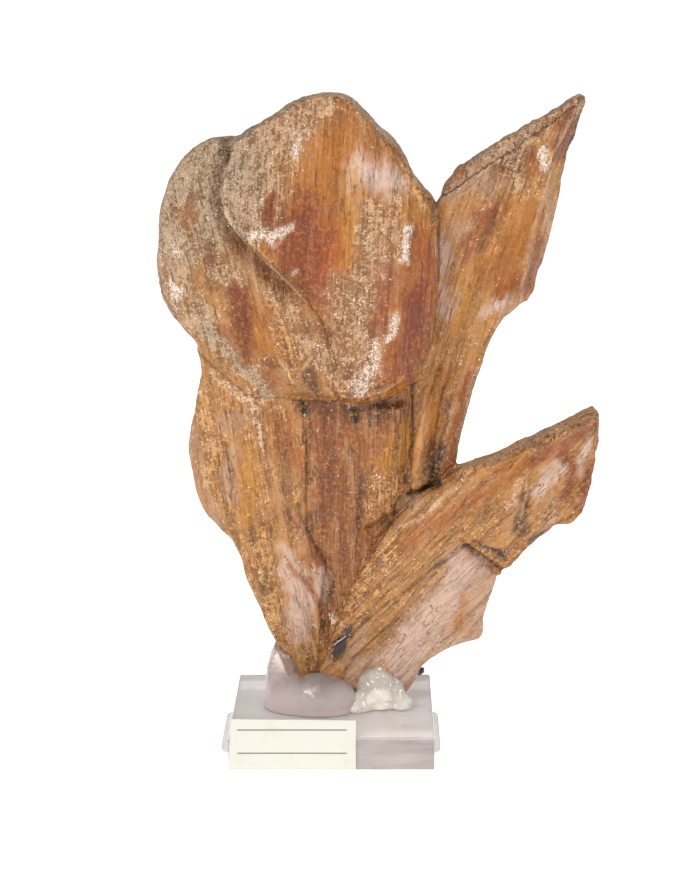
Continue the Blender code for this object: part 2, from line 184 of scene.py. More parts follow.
class ShaderTree(NodeMaker):
    """A material's nodes."""

    def __init__(self, name: str) -> None:
        """Starts a material with nothing but its output node."""
        self.material = bpy.data.materials.new(name)
        self.material.use_nodes = True
        super().__init__(self.material.node_tree)
        self.group.nodes.clear()
        self.output = self.node("ShaderNodeOutputMaterial")

    def math(self, operation: str, *values: Number) -> Value:
        """Adds a Math node and returns its result."""
        made = self.node("ShaderNodeMath", {"operation": operation}, dict(enumerate(values)))
        return Value(self, made.outputs[0])

    def place(self) -> Value:
        """The point's place on the piece, in millimetres."""
        coordinates = self.node("ShaderNodeTexCoord")
        scaled = self.node(
            "ShaderNodeVectorMath",
            {"operation": "SCALE"},
            {0: coordinates.outputs["Object"], "Scale": 1 / MM},
        )
        return Value(self, scaled.outputs[0])

    def stretched(self, place: Value, scales: Triple) -> Value:
        """A place multiplied axis by axis, to draw a pattern out along one of them."""
        made = self.node("ShaderNodeVectorMath", {"operation": "MULTIPLY"}, {0: place, 1: scales})
        return Value(self, made.outputs[0])

    def axes(self, place: Value) -> tuple[Value, Value, Value]:
        """A place's X, Y and Z as separate values."""
        made = self.node("ShaderNodeSeparateXYZ", None, {0: place})
        return tuple(Value(self, made.outputs[i]) for i in range(3))

    def painted(self, name: str, output: str = "Color") -> Value:
        """Reads a value that was painted on the mesh.

        Args:
            name: The attribute's name.
            output: Which of the node's outputs, Color, Vector or Fac.

        Returns:
            The value.
        """
        made = self.node("ShaderNodeAttribute", {"attribute_name": name})
        return Value(self, made.outputs[output])

    def parts(self, colour: Value) -> tuple[Value, Value, Value]:
        """A colour's three channels as separate values."""
        made = self.node("ShaderNodeSeparateColor", None, {"Color": colour})
        return tuple(Value(self, made.outputs[i]) for i in range(3))

    def noise(
        self, place: Value, scale: float, detail: float = 3.0, rough: float = 0.55, twist: float = 0.0
    ) -> Value:
        """Soft random values round 0.5.

        Args:
            place: Where the pattern is read.
            scale: Its scale, in waves per unit of place.
            detail: How many finer layers are added.
            rough: How strong those finer layers are.
            twist: How much the pattern is bent by another one.

        Returns:
            The values.
        """
        made = self.node(
            "ShaderNodeTexNoise",
            None,
            {"Vector": place, "Scale": scale, "Detail": detail, "Roughness": rough,
             "Distortion": twist},
        )
        return Value(self, made.outputs["Fac"])

    def mixed(self, amount: Number, first: Any, second: Any, blend: str = "MIX") -> Value:
        """Mixes two colours.

        Args:
            amount: How much of the second.
            first: A colour or its socket.
            second: A colour or its socket.
            blend: Blender's blend type.

        Returns:
            The mixed colour.
        """
        made = self.node(
            "ShaderNodeMix",
            {"data_type": "RGBA", "blend_type": blend},
            {"Factor": amount, 6: first, 7: second},
        )
        return Value(self, made.outputs[2])

    def shade(self, colour: Value | Colour, amount: Value) -> Value:
        """A colour made darker or lighter by a value round 1."""
        made = self.node(
            "ShaderNodeVectorMath", {"operation": "SCALE"}, {0: colour, "Scale": amount}
        )
        return Value(self, made.outputs[0])

    def blended(self, amount: Value, first: Any, second: Any) -> bpy.types.NodeSocket:
        """Mixes two surfaces. amount is how much of the second."""
        return self.node("ShaderNodeMixShader", None, {0: amount, 1: first, 2: second}).outputs[0]

    def bump(self, height: Value, depth: float, strength: float) -> Value:
        """Small relief that only the shading shows.

        Args:
            height: The relief, from 0 to 1.
            depth: How deep 1 is, in millimetres.
            strength: How much of it is applied.

        Returns:
            The bent normal.
        """
        made = self.node(
            "ShaderNodeBump",
            None,
            {"Height": height, "Distance": depth * MM, "Strength": strength},
        )
        return Value(self, made.outputs["Normal"])

    def surface(self, **inputs: Any) -> bpy.types.NodeSocket:
        """A Principled surface. Each name is a socket's, with _ for a space."""
        named = {key.replace("_", " "): given for key, given in inputs.items()}
        return self.node("ShaderNodeBsdfPrincipled", None, named).outputs[0]

    def finish(self, surface: bpy.types.NodeSocket) -> bpy.types.Material:
        """Sends the surface to the output and returns the material."""
        self.group.links.new(surface, self.output.inputs["Surface"])
        return self.material

    def absorb(self, colour: Colour, density: float) -> None:
        """Lets the solid's inside take light away with depth."""
        inside = {"Color": colour, "Density": density}
        volume = self.node("ShaderNodeVolumeAbsorption", None, inside)
        self.group.links.new(volume.outputs[0], self.output.inputs["Volume"])


class CrystalPattern:
    """The noises on the crystals, and the crust, grains and cracks that follow from them.

    Each value is from 0 to 1. crusted is how thickly a place is crusted; pale, dark and golden are
    grains and flecks, and spark and glint are near-white specks painted as glints; hollow and split
    are pits and cracks along the fibres.
    """

    def __init__(self, tree: ShaderTree) -> None:
        """Reads what is painted on the mesh and lays the noises over it."""
        place, grain = tree.place(), tree.painted("grain", "Vector")
        self.tint = tree.painted("tint")
        # The zones' third value is the painted shade in the creases' grooves.
        self.crust, self.clear, self.groove_shade = tree.parts(tree.painted("zones"))
        self.fibre = tree.painted("fibre", "Fac")
        self.fine = tree.noise(place, 1.0, 3.0, 0.6)
        self.dust = tree.noise(place, 2.7, 2.0, 0.6)
        self.grit = tree.noise(place, 1.6, 2.0, 0.7, 0.3)
        self.flock = tree.noise(place, 0.3, 3.0, 0.6, 0.8)
        self.streak = tree.noise(tree.stretched(grain, (1.5, 0.8, 0.06)), 1.0, 4.0, 0.65)
        self.band = tree.noise(tree.stretched(grain, (0.33, 0.3, 0.03)), 1.0, 3.0, 0.6, 0.5)
        cluster = tree.noise(place, 0.17, 2.0, 0.5, 1.0)
        seam = tree.noise(tree.stretched(grain, (0.42, 0.3, 0.07)), 1.0, 3.0, 0.6, 0.6)

        fine, dust, grit, flock = self.fine, self.dust, self.grit, self.flock
        self.covered = self.crust.between(0.05, 0.5)
        strewn = (fine - 0.5) * 1.3 + (self.streak - 0.5) * 2.0 + (flock - 0.5) * 1.8
        crusted = self.crust + (strewn + (dust - 0.5) * 0.8) * (self.covered * 0.35 + 0.65)
        self.crusted = crusted.between(0.3, 0.68)
        self.pale = dust.between(0.57, 0.64) * (
            cluster + (self.crust - 0.3) * 0.15
        ).between(0.46, 0.6)
        spark = dust.between(0.6, 0.64) * (cluster * 0.6 + flock * 0.4).between(0.51, 0.57)
        self.spark = spark * grit.between(0.44, 0.56)
        self.dark = grit.between(0.43, 0.35) * cluster.between(0.52, 0.4)
        self.glint = (dust + fine * 0.6).between(0.78, 0.86) * tree.painted("sparkle", "Fac")
        self.golden = fine.between(0.5, 0.64) * flock.between(0.58, 0.46)
        self.hollow = fine.between(0.44, 0.34) * flock.between(0.6, 0.45)
        split = tree.math("ABSOLUTE", seam - 0.5).between(0.02, 0.004)
        self.split = split * flock.between(0.44, 0.56) * self.fibre


@dataclass(frozen=True)
class SeleniteFinish:
    """Honey crystal: clear in places, cloudy in most, and crusted with grains in others."""

    refraction: float = 1.52
    shine: float = 0.28
    clarity: float = 0.9
    glow: Colour = (0.99, 0.86, 0.0)
    glow_density: float = 150.0
    under_crust: Colour = (0.8, 0.64, 0.46)
    pale_grain: Colour = linear(240, 208, 164)
    gold_grain: Colour = linear(216, 156, 66)
    hollow_tone: Colour = linear(104, 68, 44)
    # Painted glints: the near-white of the specks that stand in for glints.
    glint_white: Colour = linear(252, 244, 236)
    # Painted glow: the windows' colour is mixed a fifth of the way to this bright amber, standing in
    # for light shining through them.
    painted_glow: Colour = linear(255, 180, 50)

    def material(self) -> bpy.types.Material:
        """Builds the finish from the values painted on the crystal.

        Returns:
            The material.
        """
        tree = ShaderTree("selenite_finish")
        seen = CrystalPattern(tree)
        body = self.body(tree, seen)
        steps = (seen.band * 9).stepped()
        rough = seen.crusted * 0.42 + (seen.fine - 0.5) * 0.4 + 0.2 - seen.spark * 0.35
        cloudy = tree.surface(
            Base_Color=self.skin(tree, seen, body),
            Roughness=rough.clamped(),
            IOR=self.refraction,
            Specular_IOR_Level=self.shine,
            Normal=tree.bump(self.relief(seen, steps), 0.8, 0.85),
        )
        # The window's colour takes a share of painted glow.
        window = tree.surface(
            Base_Color=tree.mixed(
                0.2, tree.mixed(seen.pale * 0.35, body, self.pale_grain), self.painted_glow
            ),
            Roughness=((seen.streak - 0.5) * 0.6 + 0.16).clamped(),
            IOR=self.refraction,
            Specular_IOR_Level=self.shine,
            Transmission_Weight=self.clarity,
            Normal=tree.bump(seen.streak * 0.6 + steps * 0.15 + seen.fine * 0.4, 0.6, 0.6),
        )
        tree.absorb(self.glow, self.glow_density)
        opaque = 1 - seen.clear * (1 - seen.crusted) * (1 - seen.groove_shade)
        return tree.finish(tree.blended(opaque, window, cloudy))

    def body(self, tree: ShaderTree, seen: CrystalPattern) -> Value:
        """The crystal's own colour, streaked along its fibres, as it is seen between the grains.

        Args:
            tree: The material's nodes.
            seen: The crystal's patterns.

        Returns:
            The colour.
        """
        deep = tree.mixed(1.0, seen.tint, self.under_crust, "MULTIPLY")
        lined = (seen.streak - 0.5) * seen.fibre * 1.7 + (seen.band - 0.5) * 1.9
        lined = lined + (seen.flock - 0.5) * 0.9 + (seen.fine - 0.5) * 0.6
        lined = lined + (seen.dust - 0.5) * 0.9 + 1.02
        body = self.lit_up(tree, tree.mixed(seen.covered, seen.tint, deep), lined)
        body = tree.mixed(seen.golden * 0.45, body, self.gold_grain)
        return tree.mixed(seen.split * 0.8, body, self.hollow_tone)

    def skin(self, tree: ShaderTree, seen: CrystalPattern, body: Value) -> Value:
        """The colour of the cloudy surface: crust over the crystal, then grains, painted glints and
        the painted shade in grooves.

        Args:
            tree: The material's nodes.
            seen: The crystal's patterns.
            body: The crystal's own colour.

        Returns:
            The colour.
        """
        grainy = (seen.fine - 0.5) * 0.8 + (seen.dust - 0.5) * 1.9 + (seen.flock - 0.5) * 0.9
        grainy = grainy + (seen.grit - 0.5) * 1.0 + (seen.streak - 0.5) * 0.9
        crust = self.lit_up(tree, seen.tint, grainy + seen.covered * 0.08 + 1.02)
        crust = tree.mixed(seen.hollow * 0.28, crust, self.hollow_tone)
        skin = tree.mixed(seen.crusted, body, crust)
        skin = tree.mixed(seen.dark * 0.45, skin, self.hollow_tone)
        dusted = seen.crusted * 0.35 + seen.covered * 0.17 + 0.25
        skin = tree.mixed(seen.pale * dusted, skin, self.pale_grain)
        # Painted glints: near-white specks mixed into the colour.
        skin = tree.mixed(seen.spark * (seen.covered * 0.55 + 0.4), skin, self.glint_white)
        skin = tree.mixed(seen.glint, skin, self.glint_white)
        # Painted shade: the grooves are darkened to about a third.
        return tree.mixed(seen.groove_shade, skin, tree.shade(skin, (seen.dust - 0.5) * 0.6 + 0.35))

    def relief(self, seen: CrystalPattern, steps: Value) -> Value:
        """The height of the cloudy surface: fibres, steps, grains and cracks.

        Args:
            seen: The crystal's patterns.
            steps: Broad flat steps along the fibres.

        Returns:
            The height.
        """
        relief = (seen.streak * 0.5 + steps * 0.28) * (1 - seen.crusted * 0.7)
        relief = relief + seen.fine * (seen.crusted * 0.6 + 0.3)
        relief = relief + seen.dust * (seen.crusted * 0.35 + 0.12)
        return relief + seen.crusted * 0.25 + seen.pale * 0.2 - seen.split * 0.4

    def lit_up(self, tree: ShaderTree, colour: Value, amount: Value) -> Value:
        """A colour made darker or lighter, its lightest parts turning pale.

        Args:
            tree: The material's nodes.
            colour: The colour.
            amount: Round 1, below it darker and above it lighter.

        Returns:
            The new colour.
        """
        shaded = tree.shade(colour, tree.math("MINIMUM", amount, 1.12))
        return tree.mixed(((amount - 1.12) * 0.7).clamped(), shaded, self.pale_grain)


@dataclass(frozen=True)
class ClearFinish:
    """Acrylic or glue: see-through, a little cloudy, with faint marks in its polish.

    Places and sizes are in millimetres. milk is the colour of the cloudy glue. Below the first
    of milk_heights the last of milk_shares of it is seen, and above the second the first of
    them. heart is the X, Z and reach of a cloudy patch, and glint_spots how white the small
    specks on its bubbles are, which are painted glints.
    cut_face is the Y of the sawn front face, streaked and painted darker than the top as shade,
    and rim the Z of its upper edge, along which a highlight is painted.
    """

    name: str
    colour: Colour
    clarity: float
    roughness: float
    depth_colour: Colour
    depth_density: float
    wave: float
    wave_depth: float
    refraction: float = 1.49
    milk: Colour | None = None
    milk_heights: tuple[float, float] = (0.0, 0.0)
    milk_shares: tuple[float, float] = (0.18, 0.78)
    glint_spots: float = 0.0
    heart: tuple[float, float, float] | None = None
    cut_face: float | None = None
    rim: float = 0.0
    # The sawn front's colour: streaked, and darker than the top faces as painted shade.
    sawn: Colour = linear(196, 185, 179)
    # Painted highlight along the upper front edge.
    rim_highlight: Colour = linear(250, 246, 244)

    def material(self) -> bpy.types.Material:
        """Builds the finish.

        Returns:
            The material.
        """
        tree = ShaderTree(self.name)
        place = tree.place()
        cloud = tree.noise(place, self.wave, 3.0, 0.55)
        scuff = tree.noise(tree.stretched(place, (0.5, 3.0, 3.0)), 0.6, 4.0, 0.7)
        colour = tree.shade(self.colour, (cloud - 0.5) * 0.3 + 1)
        if self.cut_face is not None:
            colour = self.sawn_front(tree, place, colour)
        polish = {
            "Roughness": ((scuff - 0.5) * 0.15 + self.roughness).clamped(),
            "IOR": self.refraction,
            "Normal": tree.bump(cloud + scuff * 0.15, self.wave_depth, 0.6),
        }
        shown = tree.surface(Base_Color=colour, Transmission_Weight=self.clarity, **polish)
        if self.milk is not None:
            milk = tree.shade(self.milk, (cloud - 0.5) * 0.25 + 1)
            milky = tree.surface(Base_Color=milk, **polish)
            shown = tree.blended(self.milkiness(tree, place, cloud), shown, milky)
        tree.absorb(self.depth_colour, self.depth_density)
        return tree.finish(shown)

    def sawn_front(self, tree: ShaderTree, place: Value, colour: Value) -> Value:
        """Streaks the sawn face at Y = cut_face, darkens it as painted shade, and paints a highlight
        along its rim just below Z = rim.

        Args:
            tree: The material's nodes.
            place: The point's place.
            colour: The colour of the polished faces.

        Returns:
            The colour with the sawn face in it.
        """
        _, y, z = tree.axes(place)
        # The sawn face: its streaks, and painted shade.
        sawn = y.between(self.cut_face + 0.35, self.cut_face + 0.1)
        veil = tree.noise(tree.stretched(place, (0.08, 0.3, 0.5)), 1.0, 3.0, 0.65, 0.6)
        colour = tree.mixed(sawn, colour, tree.shade(self.sawn, (veil - 0.5) * 0.9 + 1))
        # Painted highlight along the rim below the top face.
        rim = z.between(self.rim - 0.5, self.rim - 0.2)
        rim = rim * y.between(self.cut_face + 0.9, self.cut_face + 0.5)
        return tree.mixed(rim * 0.8, colour, self.rim_highlight)

    def milkiness(self, tree: ShaderTree, place: Value, cloud: Value) -> Value:
        """How milky the glue is: most at its foot and in its heart, and white in small specks on its
        bubbles, which are painted glints.

        Args:
            tree: The material's nodes.
            place: The point's place.
            cloud: A soft noise that makes the borders uneven.

        Returns:
            The share of the milky surface, from 0 to 1.
        """
        x, _, z = tree.axes(place)
        low, high = self.milk_heights
        least, most = self.milk_shares
        amount = (z + (cloud - 0.5) * 5.0).between(high, low) * (most - least) + least
        # Painted glints: small white specks on the glue's bubbles.
        glint_spot = tree.noise(place, 1.1, 1.0, 0.5).between(0.6, 0.67) * self.glint_spots
        amount = tree.math("MAXIMUM", amount, glint_spot)
        if self.heart is not None:
            heart_x, heart_z, reach = self.heart
            away = (x - heart_x) * (x - heart_x) + (z - heart_z) * (z - heart_z)
            inner = (away + (cloud - 0.5) * 12.0).between(reach * reach, 0.0)
            amount = tree.math("MAXIMUM", amount, inner)
        return amount


@dataclass(frozen=True)
class CardFinish:
    """Cream paper card with two ruled lines and a faint smudge."""

    paper: Colour = linear(214, 212, 200)
    ink: Colour = linear(92, 88, 84)
    line_heights: tuple[float, float] = (4.3, 10.2)
    line_half: float = 0.16
    margin: float = 2.2
    smudged: Colour = linear(204, 198, 176)

    def material(self, left: float, right: float, bottom: float) -> bpy.types.Material:
        """Builds the finish.

        Args:
            left: The card's left edge, in millimetres.
            right: Its right edge.
            bottom: Its lower edge.

        Returns:
            The material.
        """
        tree = ShaderTree("card_finish")
        place = tree.place()
        across, _, up = tree.axes(place)
        fibre = tree.noise(place, 4.0, 3.0, 0.6)
        smudge = tree.noise(place, 0.22, 3.0, 0.6)
        ruled = tree.math("MAXIMUM", *[
            tree.math("ABSOLUTE", up - (bottom + h)).between(self.line_half * 1.3, self.line_half)
            for h in self.line_heights
        ])
        inside = across.between(left + self.margin, left + self.margin + 0.1)
        inside = inside * across.between(right - self.margin, right - self.margin - 0.1)
        paper = tree.mixed(smudge.between(0.55, 0.75) * 0.35, self.paper, self.smudged)
        paper = tree.shade(paper, (fibre - 0.5) * 0.12 + 1.0)
        shown = tree.surface(
            Base_Color=tree.mixed(ruled * inside * 0.8, paper, self.ink),
            Roughness=(fibre - 0.5) * 0.3 + 0.55,
            Normal=tree.bump(fibre, 0.04, 0.5),
        )
        return tree.finish(shown)


@dataclass(frozen=True)
class GrainFinish:
    """A small opaque grain: a white flake that stands in for a glint, or a dark chip."""

    name: str
    colour: Colour
    roughness: float

    def material(self) -> bpy.types.Material:
        """Builds the finish.

        Returns:
            The material.
        """
        tree = ShaderTree(self.name)
        mottle = tree.noise(tree.place(), 1.6, 3.0, 0.6)
        shown = tree.surface(
            Base_Color=tree.shade(self.colour, (mottle - 0.5) * 0.9 + 1),
            Roughness=((mottle - 0.5) * 0.4 + self.roughness).clamped(),
            Normal=tree.bump(mottle, 0.15, 0.6),
        )
        return tree.finish(shown)


class Paint(Enum):
    """What a brush stroke lays on: colour, then how crusted, how clear and how sparkling."""

    GREY_CRUST = (linear(160, 135, 110), 0.74, 0.15, 0.03)
    TAN_CRUST = (linear(172, 138, 108), 0.68, 0.2, 0.04)
    BEIGE_CRUST = (linear(176, 138, 104), 0.64, 0.2, 0.06)
    GOLD_CRUST = (linear(186, 132, 72), 0.54, 0.25, 0.06)
    STRIPED_CRUST = (linear(170, 127, 92), 0.5, 0.25, 0.05)
    PALE_LINE = (linear(204, 170, 136), 0.6, 0.0, 0.2)
    AMBER = (linear(204, 122, 34), 0.0, 0.5, 0.0)
    ORANGE = (linear(188, 86, 0), 0.0, 0.5, 0.0)
    DEEP = (linear(148, 50, 0), 0.0, 0.5, 0.0)
    RED = (linear(152, 72, 34), 0.05, 0.4, 0.0)
    GOLD = (linear(208, 138, 46), 0.1, 0.4, 0.01)
    PEACH = (linear(194, 136, 88), 0.05, 0.35, 0.0)
    LAVENDER = (linear(220, 188, 172), 0.0, 0.3, 0.01)
    PINK = (linear(198, 155, 126), 0.08, 0.3, 0.02)
    HONEY = (linear(198, 140, 80), 0.24, 0.3, 0.02)
    BROWN = (linear(168, 104, 54), 0.2, 0.35, 0.01)
    UMBER = (linear(96, 50, 28), 0.2, 0.25, 0.0)
    GREY_BROWN = (linear(78, 54, 46), 0.3, 0.1, 0.06)
    BLACK = (linear(18, 8, 6), 0.3, 0.0, 0.0)
    # Painted glints: a pale colour that the shader and the flakes strew with white specks.
    WHITE = (linear(206, 172, 150), 0.3, 0.1, 1.0)

    @property
    def colour(self) -> Colour:
        """The paint's linear colour."""
        return self.value[0]

    @property
    def row(self) -> np.ndarray:
        """Three numbers of colour, then one each of crust, clearness and sparkle."""
        return np.array([*self.value[0], *self.value[1:]])


class Part(Enum):
    """The crystals of the group, in the order in which they cover one another."""

    HEAD = 0
    LOBE = 1
    LOW = 2
    PALE = 3
    RIGHT = 4
    LEFT = 5
    MIDDLE = 6


@dataclass(frozen=True)
class Crystal:
    """How one crystal of the group grew and wore.

    lean is how far its long axis leans to the right of upright, in degrees. worn is how many
    rounds of smoothing its edges get. ribs and steps are the heights in millimetres of the
    fine ribs along it and of the cleavage steps across it. fibre is how strongly its colour
    is streaked.
    """

    part: Part
    outline: Points
    lean: float
    worn: int
    ribs: float
    steps: float
    fibre: float
    paint: Paint


@dataclass(frozen=True)
class Stroke:
    """A stroke of paint along a line, with ragged edges, on the front or the back.

    reach is how far it goes to each side of the line, in millimetres.
    """

    paint: Paint
    points: Points
    reach: float
    strength: float = 0.9
    back: bool = False


@dataclass(frozen=True)
class Crease:
    """A crack, groove or raised lip along a line on the front. A depth below 0 raises it. A groove is
    laid in its dark paint and darkened further: painted shade.
    """

    paint: Paint
    points: Points
    width: float
    depth: float
    strength: float = 0.8


CRYSTALS = (
    Crystal(
        Part.HEAD,
        ((-21.8, 152), (-14, 157.5), (-3, 163.5), (3, 163.5), (10, 156.5), (20, 143.5),
         (25.8, 133), (25.6, 118), (24.4, 106), (20.7, 95), (14.5, 90), (3, 89),
         (0.3, 94), (1.3, 100), (-2.5, 111), (-6.6, 117), (-13.8, 124), (-21, 131),
         (-25, 140), (-23.8, 146)),
        3.0, 8, 0.12, 0.0, 0.85, Paint.AMBER,
    ),
    Crystal(
        Part.LOBE,
        ((-10, 152), (-27, 154), (-39, 143.5), (-44, 121), (-32.5, 101), (-20, 90.5),
         (0, 89), (7, 93), (6, 130)),
        -14.0, 9, 0.12, 0.0, 0.7, Paint.HONEY,
    ),
    Crystal(
        Part.LOW,
        ((-4, 19), (0.5, 15), (10.5, 27.4), (25, 47.3), (31.5, 53.8), (41, 45.4), (50, 55),
         (62, 59), (66, 85), (64, 88.5), (46, 79.5), (29.5, 72.5), (15.4, 60), (5, 43)),
        43.0, 1, 0.16, 0.4, 1.0, Paint.HONEY,
    ),
    Crystal(
        Part.PALE,
        ((1, 9), (20, 9), (24, 21), (39, 27), (41, 43), (41, 45.6), (31.5, 54), (25, 47.5),
         (10.5, 27.6), (0.5, 15.5)),
        41.0, 3, 0.14, 0.3, 0.8, Paint.PINK,
    ),
    Crystal(
        Part.RIGHT,
        ((19.6, 65), (31, 72.5), (39, 104), (51, 111), (63, 163), (25, 137), (19.6, 110)),
        18.0, 1, 0.16, 0.35, 0.8, Paint.HONEY,
    ),
    Crystal(
        Part.LEFT,
        ((-37, 106), (-37, 60), (-12, 11), (-5, 11), (-2.6, 34), (-1.2, 46.2), (-6.3, 57),
         (-7, 106)),
        -8.0, 6, 0.25, 0.35, 0.9, Paint.HONEY,
    ),
    Crystal(
        Part.MIDDLE,
        ((-60, 0), (90, 0), (90, 180), (-60, 180)),
        0.0, 5, 0.28, 0.35, 1.1, Paint.BROWN,
    ),
)

